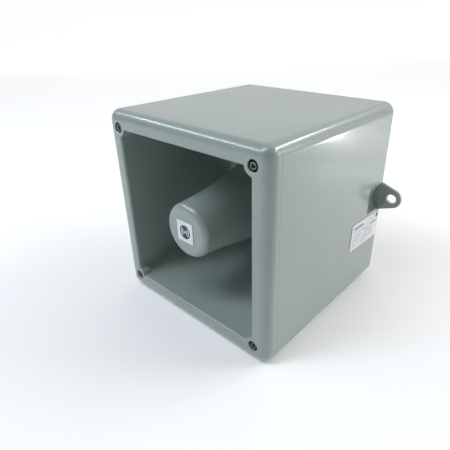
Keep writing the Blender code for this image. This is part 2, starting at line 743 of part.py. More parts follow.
def lug(side):
    """A flat ear that tapers to a round end, at the back of one side."""
    outline = bpy.data.curves.new(f"lug_{side}", "CURVE")
    outline.dimensions = "2D"
    outline.fill_mode = "BOTH"
    outline.extrude = LUG_THICKNESS / 2
    root = half_at(DEPTH) - WALL / 2
    lean = math.asin((LUG_ROOT_HALF - LUG_END) / LUG_REACH)
    arc = [math.pi / 2 - lean - step * (math.pi - 2 * lean) / 10 for step in range(11)]
    points = [(LUG_HOLE_AT + LUG_END * math.cos(a), LUG_END * math.sin(a)) for a in arc]
    points = [(root, LUG_ROOT_HALF), *points, (root, -LUG_ROOT_HALF)]
    line = outline.splines.new("POLY")
    line.use_cyclic_u = True
    line.points.add(len(points) - 1)
    for point, (x, z) in zip(line.points, points):
        point.co = (side * x, z, 0.0, 1.0)
    return curve_to_helper(outline, f"lug_{side}", DEPTH - LUG_THICKNESS / 2)


def curve_to_helper(curve, name, depth):
    """Makes a flat curve a closed mesh that stands across the siren's axis."""
    flat = bpy.data.objects.new(name + "_outline", curve)
    HELPERS.objects.link(flat)
    bpy.context.view_layer.update()
    solid = flat.evaluated_get(bpy.context.evaluated_depsgraph_get())
    mesh = bpy.data.meshes.new_from_object(solid)
    bpy.data.objects.remove(flat)
    shape = bmesh.new()
    shape.from_mesh(mesh)
    bmesh.ops.remove_doubles(shape, verts=shape.verts, dist=0.00001)
    obj = add_object(name, mesh_from(name, shape))
    obj.rotation_euler.x = math.pi / 2
    obj.location = (0.0, y_at(depth), MIDDLE)
    return obj


def scoop(name, side, grow):
    """A round-ended trough along a lug's hole, grown by the wall where it is the wall's inner side."""
    radius = SCOOP_RADIUS + grow
    start = DEPTH - LUG_THICKNESS - SCOOP_LENGTH - grow
    end = DEPTH - LUG_THICKNESS if not grow else DEPTH - BACK_WALL / 2
    front = rounded_front(radius, start, SCOOP_ROUND + grow)
    profile = [(0.0, end), (radius, end), (radius, start + SCOOP_ROUND + grow), *front]
    return turned(name, profile, place=(side * LUG_HOLE_AT, 0.0), steps=48)


def rear_housing():
    seam = RIM_DEPTH + GAP / 2
    halves = (half_at(seam), half_at(DEPTH))
    box = drafted_box("rear_housing", halves, (seam, DEPTH), EDGE_RADIUS, "housing", back_round=BACK_RADIUS)
    inner = (half_at(seam) - WALL, half_at(BACK_FLOOR) - WALL)
    inner = (inner[0] + (inner[0] - inner[1]) * WALL / (BACK_FLOOR - seam), inner[1])
    cut(box, drafted_box("box_air", inner, (seam - WALL, BACK_FLOOR), EDGE_RADIUS - WALL))

    middles = [half_at(0) - WALL / 2, half_at(DEPTH) - WALL / 2]
    inside = drafted_box("box_inside", middles, (seam, DEPTH - 2 * GAP), EDGE_RADIUS - WALL / 2)
    for side in (-1, 1):
        bulge = scoop(f"scoop_wall_{side}", side, WALL)
        boolean(bulge, inside, "INTERSECT")
        join(box, bulge, lug(side))
    pillar_front = COLUMN_LENGTH + GAP
    reach = half_at(pillar_front + PILLAR_LENGTH) - WALL / 2
    for number, (x, z) in enumerate(SCREW_PLACES, 1):
        ends = (pillar_front, pillar_front + PILLAR_LENGTH)
        join(box, rod(f"pillar_{number}", PILLAR_RADIUS, *ends, (x, z), steps=24))
        sx, sz = math.copysign(1, x), math.copysign(1, z)
        web = PILLAR_RADIUS * 0.6
        start = ends[0] + GAP
        stop = ends[1] - GAP
        join(box, span(f"web_x_{number}", (x, start, z - web), (sx * reach, stop, z + web)))
        join(box, span(f"web_z_{number}", (x - web, start, z), (x + web, stop, sz * reach)))
    for number, place in enumerate(board_places(), 1):
        join(box, rod(f"boss_{number}", BOSS_RADIUS, BOARD_BACK, BACK_FLOOR + WALL / 2, place))

    for number, place in enumerate(SCREW_PLACES, 1):
        cut(box, rod(f"insert_hole_{number}", INSERT_RADIUS + GAP, pillar_front - WALL,
                     pillar_front + INSERT_LENGTH + GAP * 4, place))
    for side in (-1, 1):
        cut(box, scoop(f"scoop_air_{side}", side, 0.0))
        cut(box, rod(f"lug_hole_{side}", LUG_HOLE, DEPTH - 2 * WALL, DEPTH + WALL, (side * LUG_HOLE_AT, 0.0)))
    for number, place in enumerate(board_places(), 1):
        cut(box, rod(f"boss_hole_{number}", SMALL_SCREW + GAP, BOARD_BACK - WALL, BACK_FLOOR, place))
    for number, height in enumerate((ENTRY_RISE, -ENTRY_RISE), 1):
        wall = half_at(ENTRY_DEPTH)
        ends = (-wall - WALL, -wall + 3 * WALL)
        cut(box, across(f"entry_{number}", ENTRY_RADIUS, ends, ENTRY_DEPTH, height))


def span(name, a, b):
    """A block between any two opposite corners."""
    low = [min(p, q) for p, q in zip(a, b)]
    high = [max(p, q) for p, q in zip(a, b)]
    return block(name, low, high)


def thread_inserts():
    start = COLUMN_LENGTH + 2 * GAP
    ends = (start, start + INSERT_LENGTH)
    for number, place in enumerate(SCREW_PLACES, 1):
        ring(f"thread_insert_{number}", SCREW_RADIUS + GAP, INSERT_RADIUS, *ends, "brass", place, SMALL_STEPS)


def cable_plugs():
    """A six-sided blanking plug and its seal in each cable entry, square to the left side."""
    lean = -math.atan2(DRAFT, DEPTH)
    for number, height in enumerate((ENTRY_RISE, -ENTRY_RISE), 1):
        face = half_at(ENTRY_DEPTH)
        seal_end = -face - GAP - PLUG_SEAL
        head_end = seal_end - GAP - PLUG_HEIGHT
        place = (ENTRY_DEPTH, height)
        seal_ends = (seal_end, -face - GAP)
        seal = across(f"plug_seal_{number}", PLUG_RADIUS - SEAL_IN, seal_ends, *place, "rubber", 32)
        cut(seal, across(f"seal_air_{number}", ENTRY_RADIUS, (seal_end - WALL, WALL - face), *place))
        plug = across(f"cable_plug_{number}", PLUG_RADIUS, (head_end, head_end + PLUG_HEIGHT), ENTRY_DEPTH,
                      height, "black_plastic", 6)
        thread = across(f"plug_thread_{number}", ENTRY_RADIUS - GAP,
                        (head_end + GAP, -face + WALL + PLUG_TAIL), ENTRY_DEPTH, height)
        join(plug, thread)
        for piece in (seal, plug):
            piece.rotation_euler.z = lean


def rating_label():
    """A printed plate on the right side, as the side leans."""
    length, tall, thick = LABEL_SIZE
    depth = DEPTH - LABEL_EDGE - length / 2
    shape = bmesh.new()
    bmesh.ops.create_cube(shape, size=1.0)
    bmesh.ops.scale(shape, vec=(thick, length, tall), verts=shape.verts)
    label = add_object("rating_label", mesh_from("rating_label", shape), "label")
    lean = math.atan2(DRAFT, DEPTH)
    label.rotation_euler = (LABEL_LEAN, 0.0, lean)
    label.location = (half_at(depth) + GAP / 2 + thick / 2, y_at(depth), MIDDLE + LABEL_HEIGHT)


# The board and what is on it.

def board_places():
    return [(x * BOARD_SCREW_HALF, z * BOARD_SCREW_HALF) for x in (-1, 1) for z in (-1, 1)]


def circuit_board():
    half = BOARD_HALF
    board = block("circuit_board", (-half, BOARD_FRONT, -half), (half, BOARD_FRONT + BOARD, half), "board")
    for number, place in enumerate(board_places(), 1):
        hole = rod(f"board_hole_{number}", SMALL_SCREW + GAP, BOARD_FRONT - WALL, BOARD_BACK + WALL, place)
        cut(board, hole)
        back = BACK_FLOOR - GAP
        cap_screw(f"board_screw_{number}", place, BOARD_FRONT - GAP / 2 - SMALL_HEAD, SMALL_HEAD, SMALL_HEAD,
                  SMALL_SCREW, back, "steel")


def on_board(name, centre, size, finish, edge=0.0):
    """A block that stands on the board. Its size is (x, height, how far it stands out)."""
    (x, z), (sx, sz, out) = centre, size
    back = BOARD_FRONT - GAP
    return block(name, (x - sx / 2, back - out, z - sz / 2), (x + sx / 2, back, z + sz / 2), finish, edge)


def front_of(out):
    """Depth of the face of something that stands out from the board by this much."""
    return BOARD_FRONT - GAP - out


def in_from(place, x_side, z_side):
    """A place on the board from how far it is in from two of the board's edges."""
    return x_side * (BOARD_HALF - place[0]), z_side * (BOARD_HALF - place[1])


def pocket(name, centre, size, face, floor):
    """Cuts out a square room that is open at the front."""
    (x, z), (sx, sz) = centre, size
    return block(name, (x - sx / 2, face - WALL, z - sz / 2), (x + sx / 2, floor, z + sz / 2))


def terminal_block():
    """Screw terminals at the bottom edge, with their wire holes facing down."""
    z = TERMINAL_UP - BOARD_HALF
    tall, out = TERMINAL_SIZE[1:]
    terminals = on_board("terminal_block", (0.0, z), TERMINAL_SIZE, "white_plastic")
    face = front_of(out)
    radius, deep = TERMINAL_SCREW
    hole_front = face + deep + radius
    for way in range(TERMINAL_WAYS):
        x = (way - (TERMINAL_WAYS - 1) / 2) * TERMINAL_PITCH
        screw_place = (x, z + tall / 8)
        cut(terminals, rod(f"terminal_{way}", radius, face - WALL, face + deep, screw_place, steps=12))
        low = (x - WIRE_HOLE[0] / 2, hole_front, z - tall)
        high = (x + WIRE_HOLE[0] / 2, hole_front + WIRE_HOLE[1], z)
        cut(terminals, block(f"wire_hole_{way}", low, high))


def power_parts():
    """Transformer, reservoir capacitors and heat sink."""
    centre = in_from(CORE_PLACE, -1, -1)
    core = on_board("transformer", centre, CORE_SIZE, "ferrite")
    join(core, on_board("winding", centre, WINDING_SIZE, None, WINDING_ROUND))

    for number, place in enumerate(CAN_PLACES, 1):
        front, back = front_of(CAN_LENGTH), front_of(0.0)
        turned(
            f"capacitor_{number}",
            [(0.0, back), (CAN_RADIUS, back), (CAN_RADIUS, front + CAN_EDGE), (CAN_RADIUS - CAN_EDGE, front),
             (0.0, front)],
            "black_plastic", in_from(place, 1, -1), SMALL_STEPS + 4,
        )

    x, z = in_from(SINK_PLACE, 1, 1)
    sink = on_board("heat_sink", (x, z), SINK_SIZE, "aluminium")
    width, _, out = SINK_SIZE
    for slot in range(SINK_SLOTS):
        slot_z = z + (slot - (SINK_SLOTS - 1) / 2) * SINK_PITCH
        low = (x - width / 2 + SINK_BACK, front_of(out) - WALL, slot_z - SINK_SLOT / 2)
        high = (x + width / 2 + SINK_BACK, front_of(0.0), slot_z + SINK_SLOT / 2)
        cut(sink, block(f"fin_slot_{slot}", low, high))


def sockets():
    """Recording socket, ribbon header and the header for the driver's lead."""
    x = JACK_IN - BOARD_HALF
    jack = on_board("jack_socket", (x, JACK_HEIGHT), JACK_SIZE, "black_plastic")
    radius, deep = JACK_HOLE
    outer = x - JACK_SIZE[0] / 2
    middle = front_of(JACK_SIZE[2] / 2)
    cut(jack, across("jack_hole", radius, (outer - WALL, outer + deep), middle, JACK_HEIGHT, steps=16))

    sockets_on_board = [
        ("ribbon_header", in_from(RIBBON_PLACE, -1, 1), RIBBON_SIZE, RIBBON_WALL, "cream_plastic"),
        ("speaker_header", SPEAKER_PLACE, SPEAKER_SIZE, SPEAKER_WALL, "white_plastic"),
    ]
    for name, place, size, walls, finish in sockets_on_board:
        header = on_board(name, place, size, finish)
        room = (size[0] - 2 * walls[0], size[1] - 2 * walls[1])
        cut(header, pocket(f"{name}_room", place, room, front_of(size[2]), front_of(walls[2])))


def volume_control():
    """A square body with a slotted rotor in its round well."""
    place = in_from(VOLUME_PLACE, -1, 1)
    pot = on_board("volume_pot_body", place, VOLUME_SIZE, "cream_plastic")
    face = front_of(VOLUME_SIZE[2])
    cut(pot, rod("pot_well", ROTOR_RADIUS + GAP, face - WALL, face + ROTOR_WELL, place, steps=24))
    ends = (face - ROTOR_OUT, face + ROTOR_WELL - GAP)
    rotor = rod("volume_rotor", ROTOR_RADIUS, *ends, place, "white_plastic", 24)
    wide, deep = ROTOR_SLOT
    slot = pocket("rotor_slot", place, (ROTOR_RADIUS * 3, wide), face, face - ROTOR_OUT + deep)
    cut(rotor, slot)


def buttons():
    """Each button is a body and the cap that travels in its well."""
    for name, edge_place, finish in BUTTON_PLACES:
        place = in_from(edge_place, -1, 1)
        body = on_board(f"{name}_body", place, BUTTON_SIZE, "black_plastic")
        face = front_of(BUTTON_SIZE[2])
        cut(body, rod(f"{name}_well", BUTTON_RADIUS + GAP, face - WALL, face + BUTTON_WELL, place, steps=16))
        ends = (face - BUTTON_OUT, face + BUTTON_WELL - BUTTON_TRAVEL - GAP)
        rod(f"{name}_cap", BUTTON_RADIUS, *ends, place, finish, 16)


def tone_switches():
    """A bank of sliders, each in its own well, all at the low end of their travel."""
    x, z = in_from(SWITCH_PLACE, -1, 1)
    switches = on_board("tone_switch_body", (x, z), SWITCH_SIZE, "red_plastic")
    face = front_of(SWITCH_SIZE[2])
    wide, tall, deep = SWITCH_WELL
    low = z - tall / 2 + GAP
    high = z + tall / 2 - GAP - SWITCH_TRAVEL
    for way in range(SWITCH_WAYS):
        way_x = x + (way - (SWITCH_WAYS - 1) / 2) * SWITCH_PITCH
        cut(switches, pocket(f"switch_well_{way}", (way_x, z), (wide, tall), face, face + deep))
        reach = wide / 2 - GAP / 2
        block(f"tone_slider_{way + 1}", (way_x - reach, face - SWITCH_OUT, low),
              (way_x + reach, face + deep - GAP / 2, high), "white_plastic")


def main():
    horn_flare()
    front_gasket()
    cover_screws()
    bullet()
    badge()
    throat_tube()
    driver()
    driver_lead()
    rear_housing()
    thread_inserts()
    cable_plugs()
    rating_label()
    circuit_board()
    terminal_block()
    power_parts()
    sockets()
    volume_control()
    buttons()
    tone_switches()
    bpy.context.view_layer.update()


main()
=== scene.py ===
import json
import math

import bpy
import numpy as np
from mathutils import Matrix, Vector

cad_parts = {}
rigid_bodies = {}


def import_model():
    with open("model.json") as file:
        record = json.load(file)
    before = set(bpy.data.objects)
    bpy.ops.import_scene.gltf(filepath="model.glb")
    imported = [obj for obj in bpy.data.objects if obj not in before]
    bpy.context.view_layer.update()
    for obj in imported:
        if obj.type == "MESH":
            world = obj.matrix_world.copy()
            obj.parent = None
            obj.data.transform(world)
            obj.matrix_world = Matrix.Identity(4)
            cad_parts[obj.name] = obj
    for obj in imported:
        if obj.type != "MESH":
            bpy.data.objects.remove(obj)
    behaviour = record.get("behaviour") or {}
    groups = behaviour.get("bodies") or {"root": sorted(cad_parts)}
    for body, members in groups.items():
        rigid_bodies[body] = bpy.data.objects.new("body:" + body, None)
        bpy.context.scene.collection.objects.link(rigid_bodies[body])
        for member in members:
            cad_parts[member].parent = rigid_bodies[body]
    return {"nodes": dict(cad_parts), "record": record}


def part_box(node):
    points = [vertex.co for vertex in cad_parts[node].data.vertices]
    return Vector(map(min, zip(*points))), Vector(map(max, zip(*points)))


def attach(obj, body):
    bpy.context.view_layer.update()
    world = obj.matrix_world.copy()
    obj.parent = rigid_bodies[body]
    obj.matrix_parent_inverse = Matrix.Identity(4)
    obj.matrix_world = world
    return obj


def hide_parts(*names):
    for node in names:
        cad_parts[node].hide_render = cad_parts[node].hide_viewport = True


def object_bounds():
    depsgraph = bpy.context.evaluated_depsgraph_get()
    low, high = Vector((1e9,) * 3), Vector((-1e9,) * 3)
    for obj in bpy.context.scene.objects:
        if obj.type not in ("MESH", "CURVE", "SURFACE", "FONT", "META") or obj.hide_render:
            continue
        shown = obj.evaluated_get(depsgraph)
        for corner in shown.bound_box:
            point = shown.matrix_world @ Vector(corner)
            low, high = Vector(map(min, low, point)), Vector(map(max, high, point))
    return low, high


for thing in list(bpy.data.objects):
    bpy.data.objects.remove(thing)

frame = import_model()
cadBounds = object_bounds()
nodes = frame["nodes"]
print("frame in, %d nodes" % len(nodes))

# where the siren is: depths are taken from the mouth's face towards the wall, heights from the horn's axis

boxLow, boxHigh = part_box("rear_housing")
bulletLow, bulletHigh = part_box("bullet")
siren = dict(depth=0.194, width=0.200, draft=0.0036, edgeRadius=0.0105)
faceY = boxHigh[1] - siren["depth"]
axisZ = (bulletLow[2] + bulletHigh[2]) / 2


# half the width at a depth: the sides lean in evenly from the face to the back
def halfAt(depth):
    return siren["width"] / 2 - siren["draft"] * depth / siren["depth"]


# the camera stands at a place given in widths of the siren, and is turned by heading, slope and roll
def addCamera():
    view = dict(place=(1.3227, -1.0489, 1.4195), heading=45.0, down=27.83, roll=-2.01, lens=33.45)
    width = siren["width"]
    heading, down = math.radians(view["heading"]), math.radians(view["down"])
    forward = Vector((-math.sin(heading) * math.cos(down), math.cos(heading) * math.cos(down),
                      -math.sin(down)))
    right = forward.cross(Vector((0, 0, 1))).normalized()
    up = right.cross(forward)
    turn = math.radians(view["roll"])
    right, up = right * math.cos(turn) + up * math.sin(turn), up * math.cos(turn) - right * math.sin(turn)
    data = bpy.data.cameras.new("camera")
    data.lens = view["lens"]
    data.sensor_width = 36.0
    data.clip_start = 0.01
    camera = bpy.data.objects.new("camera", data)
    bpy.context.scene.collection.objects.link(camera)
    x, y, z = view["place"]
    place = Vector((x * width, faceY + y * width, z * width))
    turned = Matrix((right, up, -forward)).transposed().to_4x4()
    camera.matrix_world = Matrix.Translation(place) @ turned
    bpy.context.scene.camera = camera


addCamera()
print("camera set")


# a material being put together: its tree, its shader, and short ways to add nodes and links to them, with
# patterns on Object coordinates
class Finish:
    def __init__(self, name, colour, roughness, metallic=0.0):
        self.material = bpy.data.materials.new(name)
        self.material.use_nodes = True
        self.tree = self.material.node_tree
        self.shader = self.tree.nodes["Principled BSDF"]
        self.set("Base Color", (*colour, 1.0))
        self.set("Roughness", roughness)
        self.set("Metallic", metallic)
        self.place = self.tree.nodes.new("ShaderNodeTexCoord").outputs["Object"]

    def set(self, socket, value):
        self.shader.inputs[socket].default_value = value

    def node(self, kind, settings=None, **inputs):
        made = self.tree.nodes.new(kind)
        for key, value in (settings or {}).items():
            setattr(made, key, value)
        for key, value in inputs.items():
            socket = made.inputs[key.replace("_", " ")]
            if isinstance(value, bpy.types.NodeSocket):
                self.tree.links.new(value, socket)
            else:
                socket.default_value = value
        return made

    def noise(self, scale, detail=4.0, rough=0.55, stretch=(1, 1, 1), distort=0.0):
        mapped = self.node("ShaderNodeMapping", Vector=self.place, Scale=stretch).outputs[0]
        made = self.node("ShaderNodeTexNoise", Vector=mapped, Scale=scale, Detail=detail, Roughness=rough,
                         Distortion=distort)
        return made.outputs["Fac"]

    def spread(self, value, low, high, toLow, toHigh):
        made = self.node("ShaderNodeMapRange", Value=value)
        for key, number in zip(("From Min", "From Max", "To Min", "To Max"), (low, high, toLow, toHigh)):
            made.inputs[key].default_value = number
        return made.outputs["Result"]

    def maths(self, operation, a, b=0.0):
        made = self.tree.nodes.new("ShaderNodeMath")
        made.operation = operation
        for socket, value in zip(made.inputs, (a, b)):
            if isinstance(value, bpy.types.NodeSocket):
                self.tree.links.new(value, socket)
            else:
                socket.default_value = value
        return made.outputs[0]

    def blend(self, amount, a, b, how="MIX"):
        made = self.node("ShaderNodeMix", dict(data_type="RGBA", blend_type=how))
        if amount is None:
            made.inputs[0].default_value = 1.0
        else:
            self.tree.links.new(amount, made.inputs[0])
        for socket, value in zip((made.inputs[6], made.inputs[7]), (a, b)):
            if isinstance(value, bpy.types.NodeSocket):
                self.tree.links.new(value, socket)
            else:
                socket.default_value = (*value, 1.0)
        return made.outputs[2]

    def link(self, output, socket):
        self.tree.links.new(output, self.shader.inputs[socket])

    def bump(self, height, distance, strength=1.0, after=None):
        made = self.node("ShaderNodeBump", Height=height, Distance=distance, Strength=strength)
        if after:
            self.tree.links.new(after, made.inputs["Normal"])
        self.link(made.outputs["Normal"], "Normal")
        return made.outputs["Normal"]


# moulded plastic: a faint cloudiness in its tone and gloss, and a skin with slight waves and a fine grain
def mouldedPlastic(name, colour, roughness, mottle=0.05, coat=0.0, coatRoughness=0.1, grain=0.00002):
    finish = Finish(name, colour, roughness)
    cloud = finish.spread(finish.noise(14.0, 5.0), 0.3, 0.7, 1.0 - mottle, 1.0 + mottle)
    tone = finish.node("ShaderNodeCombineColor", Red=cloud, Green=cloud, Blue=cloud).outputs[0]
    tinted = finish.blend(None, colour, tone, "MULTIPLY")
    grime = finish.spread(finish.noise(55.0, 4.0, 0.55), 0.45, 0.85, 0.0, 0.08)
    finish.link(finish.blend(grime, tinted, [c * 0.6 for c in colour]), "Base Color")
    patches = finish.spread(finish.noise(22.0, 4.0), 0.3, 0.7, -0.012, 0.045)
    rubbed = finish.spread(finish.noise(130.0, 4.0, 0.6), 0.45, 0.75, 0.0, 0.05)
    finish.link(finish.maths("ADD", finish.maths("ADD", patches, rubbed), roughness), "Roughness")
    fine = finish.maths("MULTIPLY", finish.noise(700.0, 2.0), 0.10)
    finish.bump(finish.maths("ADD", fine, finish.noise(38.0, 2.0)), grain, 0.5)
    if coat:
        finish.set("Coat Weight", coat)
        finish.set("Coat Roughness", coatRoughness)
    return finish.material


# plated or bare metal: grain along one way, and duller blotches
def metal(name, colour, roughness, grain=(1, 1, 1), wear=0.12):
    finish = Finish(name, colour, roughness, 1.0)
    streaks = finish.noise(420.0, 4.0, 0.6, stretch=grain)
    blotch = finish.noise(90.0, 5.0, 0.6)
    rough = finish.maths("ADD", finish.spread(streaks, 0.3, 0.7, -0.05, 0.08),
                         finish.spread(blotch, 0.4, 0.7, 0.0, wear))
    finish.link(finish.maths("ADD", rough, roughness), "Roughness")
    finish.link(finish.blend(finish.spread(blotch, 0.45, 0.75, 0.0, 0.5), colour,
                             [c * 0.6 for c in colour]), "Base Color")
    finish.bump(streaks, 0.00001, 0.4)
    return finish.material


# rubber, ferrite, resin: a fine grain, with a little change of tone
def matt(name, colour, roughness, scale=300.0, depth=0.00003, change=0.15):
    finish = Finish(name, colour, roughness)
    grain = finish.noise(scale, 5.0, 0.6)
    finish.link(finish.blend(finish.spread(grain, 0.35, 0.7, 0.0, 1.0), colour,
                             [c * (1 - change) for c in colour]), "Base Color")
    finish.link(finish.spread(grain, 0.3, 0.7, roughness - 0.05, roughness + 0.06), "Roughness")
    finish.bump(grain, depth, 0.6)
    return finish.material


# solder mask with lighter tracks that run up and across, and a weave below it
def printedBoard():
    colours = dict(mask=(0.012, 0.105, 0.045), track=(0.03, 0.21, 0.09))
    finish = Finish("boardMask", colours["mask"], 0.32)
    mapped = finish.node("ShaderNodeMapping", Vector=finish.place, Rotation=(math.pi / 2, 0, 0)).outputs[0]
    brick = finish.node("ShaderNodeTexBrick", dict(offset=0.37, squash=0.6, squash_frequency=3),
                        Vector=mapped)
    for key, value in dict(Scale=60.0, Mortar_Size=0.018, Mortar_Smooth=0.1, Brick_Width=0.9,
                           Row_Height=0.16).items():
        brick.inputs[key.replace("_", " ")].default_value = value
    picked = finish.spread(finish.noise(45.0, 2.0), 0.48, 0.5, 0.0, 1.0)
    tracks = finish.maths("MULTIPLY", brick.outputs["Fac"], picked)
    finish.link(finish.blend(tracks, colours["mask"], colours["track"]), "Base Color")
    weave = finish.node("ShaderNodeTexVoronoi", Vector=finish.place, Scale=900.0).outputs["Distance"]
    finish.bump(finish.maths("ADD", finish.maths("MULTIPLY", weave, 0.2), tracks), 0.00004, 0.5)
    return finish.material


# enamelled wire laid in fine turns along the coil
def woundWire():
    finish = Finish("coilWire", (0.62, 0.24, 0.09), 0.3, 1.0)
    wave = finish.node("ShaderNodeTexWave", dict(bands_direction="Y"), Vector=finish.place, Scale=900.0,
                       Distortion=0.3)
    finish.link(finish.blend(wave.outputs["Fac"], (0.32, 0.10, 0.035), (0.70, 0.29, 0.11)), "Base Color")
    finish.bump(wave.outputs["Fac"], 0.00008, 0.8)
    return finish.material


plastics = dict(
    housing=dict(colour=(0.298, 0.355, 0.332), roughness=0.30, coat=0.5, coatRoughness=0.12),
    label=dict(colour=(0.78, 0.79, 0.82), roughness=0.35, mottle=0.03),
    black_plastic=dict(colour=(0.018, 0.018, 0.019), roughness=0.38, mottle=0.1),
    cream_plastic=dict(colour=(0.62, 0.55, 0.38), roughness=0.42),
    red_plastic=dict(colour=(0.50, 0.022, 0.018), roughness=0.33),
    white_plastic=dict(colour=(0.74, 0.74, 0.70), roughness=0.38),
)
slotFinish = {slot: mouldedPlastic(slot + "Moulding", **values) for slot, values in plastics.items()}
slotFinish.update(
    dark_screw=metal("blackenedSteel", (0.012, 0.012, 0.011), 0.42, wear=0.2),
    steel=metal("zincPlate", (0.62, 0.61, 0.57), 0.30, grain=(1, 0.1, 1)),
    brass=metal("turnedBrass", (0.72, 0.50, 0.20), 0.28, grain=(1, 6, 1)),
    aluminium=metal("castAluminium", (0.70, 0.71, 0.72), 0.42),
    rubber=matt("sealRubber", (0.022, 0.022, 0.023), 0.72),
    ferrite=matt("sinteredFerrite", (0.055, 0.055, 0.060), 0.60, scale=700.0),
    diaphragm=matt("resinSheet", (0.46, 0.25, 0.09), 0.38, scale=1500.0, change=0.3),
    copper=woundWire(),
    board=printedBoard(),
)
# lighter steel put about the screws' sockets: a painted glint, standing in for the highlight in each socket
paintedGlintSteel = metal("paintedGlintSteel", (0.34, 0.33, 0.31), 0.28)
slotOf = {row["node"]: row["material_slot"] for row in frame["record"]["subparts"]}
for nodeName, obj in nodes.items():
    finish = slotFinish[slotOf[nodeName]]
    if not obj.material_slots:
        obj.data.materials.append(finish)
    for held in obj.material_slots:
        held.material = finish
print("finishes on the frame's own parts")


# surfaces: every moulding is a stack of closed lines round an axis that runs from front to back


# angles round a full turn. Each fine part is (middle, half width, step) in degrees; the rest is coarse
def angles(*fineParts, coarse=math.radians(1.6)):
    marks = []
    for middle, half, step in fineParts:
        count = int(round(2 * half / step))
        marks.append(np.radians(middle + np.linspace(-half, half, count + 1)))
    marks = np.sort(np.mod(np.concatenate(marks), 2 * np.pi)) if marks else np.array([0.0])
    ends = np.append(marks[1:], marks[0] + 2 * np.pi)
    filled = [a + (b - a) * np.arange(max(1, round((b - a) / coarse))) / max(1, round((b - a) / coarse))
              for a, b in zip(marks, ends)]
    return np.concatenate(filled)


# a full turn in equal steps
def evenAngles(count):
    return np.arange(count) * 2 * np.pi / count


# distance from the axis to a square of this half width with round corners, at each angle. On a flat side it
# is half / cos. On a corner it is where the ray leaves the corner's circle
def roundSquare(half, corner, turn):
    half, corner = np.asarray(half)[..., None], np.asarray(corner)[..., None]
    along, across = np.abs(np.cos(turn)), np.abs(np.sin(turn))
    big, small = np.maximum(along, across), np.minimum(along, across)
    flat = half / big
    inset = half - corner
    reach = inset * (big + small)
    bent = reach + np.sqrt(np.maximum(reach**2 - 2 * inset**2 + corner**2, 0.0))
    return np.where(flat * small <= inset, flat, bent)


# distance from the axis to a hexagon with this half width across its flats
def sixSided(apothem, turn):
    return apothem / np.cos(np.mod(turn + np.pi / 6, np.pi / 3) - np.pi / 6)


# distance from the axis to the near side of a circle that stands off it, and far away where the ray misses
def nearSide(radius, centre, turn):
    away, bearing = math.hypot(*centre), math.atan2(centre[1], centre[0])
    off = turn - bearing
    under = np.asarray(radius)[..., None] ** 2 - (away * np.sin(off)) ** 2
    hit = away * np.cos(off) - np.sqrt(np.maximum(under, 0.0))
    return np.where((under > 0) & (np.cos(off) > 0), hit, 10.0)


# the smaller of two distances, with the crease between them rounded over a length
def softLess(a, b, soft):
    mix = np.clip(0.5 + 0.5 * (b - a) / soft, 0.0, 1.0)
    return b * (1 - mix) + a * mix - soft * mix * (1 - mix)


# verts and faces of a surface through rows of distances from an axis at place. ends is "caps" where the
# first and last rows close on the axis, or "loop" where the last row meets the first
def stack(radii, depths, turn, place=(0.0, 0.0), ends="caps"):
    radii = np.asarray(radii, float)
    rows, columns = radii.shape
    depths = np.broadcast_to(np.asarray(depths, float).reshape(rows, -1), radii.shape)
    grid = np.stack([
        place[0] + radii * np.cos(turn), faceY + depths, axisZ + place[1] + radii * np.sin(turn)
    ], axis=-1)
    index = np.arange(rows * columns).reshape(rows, columns)
    lower = index if ends == "loop" else index[:-1]
    upper = np.roll(index, -1, axis=0) if ends == "loop" else index[1:]
    quads = np.stack([lower, np.roll(lower, -1, axis=1), np.roll(upper, -1, axis=1), upper],
                     axis=-1).reshape(-1, 4)
    verts, faces = grid.reshape(-1, 3), quads.tolist()
    if ends == "caps":
        tips = np.array([[place[0], faceY + depths[row, 0], axisZ + place[1]] for row in (0, -1)])
        verts = np.concatenate([verts, tips])
        first, last = rows * columns, rows * columns + 1
        faces += np.stack([np.roll(index[0], -1), index[0], np.full(columns, first)], axis=-1).tolist()
        faces += np.stack([index[-1], np.roll(index[-1], -1), np.full(columns, last)], axis=-1).tolist()
    return outward(verts, faces)


# turns the faces over where the volume that they close comes out negative
def outward(verts, faces):
    volume = 0.0
    for corners in (3, 4):
        some = np.array([f for f in faces if len(f) == corners])
        if len(some):
            for k in range(1, corners - 1):
                a, b, c = verts[some[:, 0]], verts[some[:, k]], verts[some[:, k + 1]]
                volume += np.einsum("ij,ij->i", a - verts[0], np.cross(b - verts[0], c - verts[0])).sum()
    return (verts, faces) if volume > 0 else (verts, [f[::-1] for f in faces])


# one piece from one or more closed shells
def makePiece(name, shells, finish, body, replaces=(), sharp=32):
    verts, faces, start = [], [], 0
    for shellVerts, shellFaces in shells:
        verts.append(shellVerts)
        faces += [[i + start for i in face] for face in shellFaces]
        start += len(shellVerts)
    mesh = bpy.data.meshes.new(name)
    mesh.from_pydata(np.concatenate(verts).tolist(), [], faces)
    mesh.materials.append(finish)
    mesh.shade_smooth()
    mesh.set_sharp_from_angle(angle=math.radians(sharp))
    piece = bpy.data.objects.new(name, mesh)
    bpy.context.scene.collection.objects.link(piece)
    if body:
        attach(piece, body)
    if replaces:
        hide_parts(*replaces)
    return piece


# (outwards, forwards) steps of a quarter or part circle, as arrays
def arc(radius, start, end, count):
    turn = np.radians(np.linspace(start, end, count))
    return radius * np.cos(turn), radius * np.sin(turn)


# a lathe shape: profile is rows of (radius, depth)
def turnedShell(profile, count=48, place=(0.0, 0.0), ends="caps"):
    profile = np.asarray(profile, float)
    turn = evenAngles(count)
    return stack(np.repeat(profile[:, :1], count, axis=1), profile[:, 1], turn, place, ends)


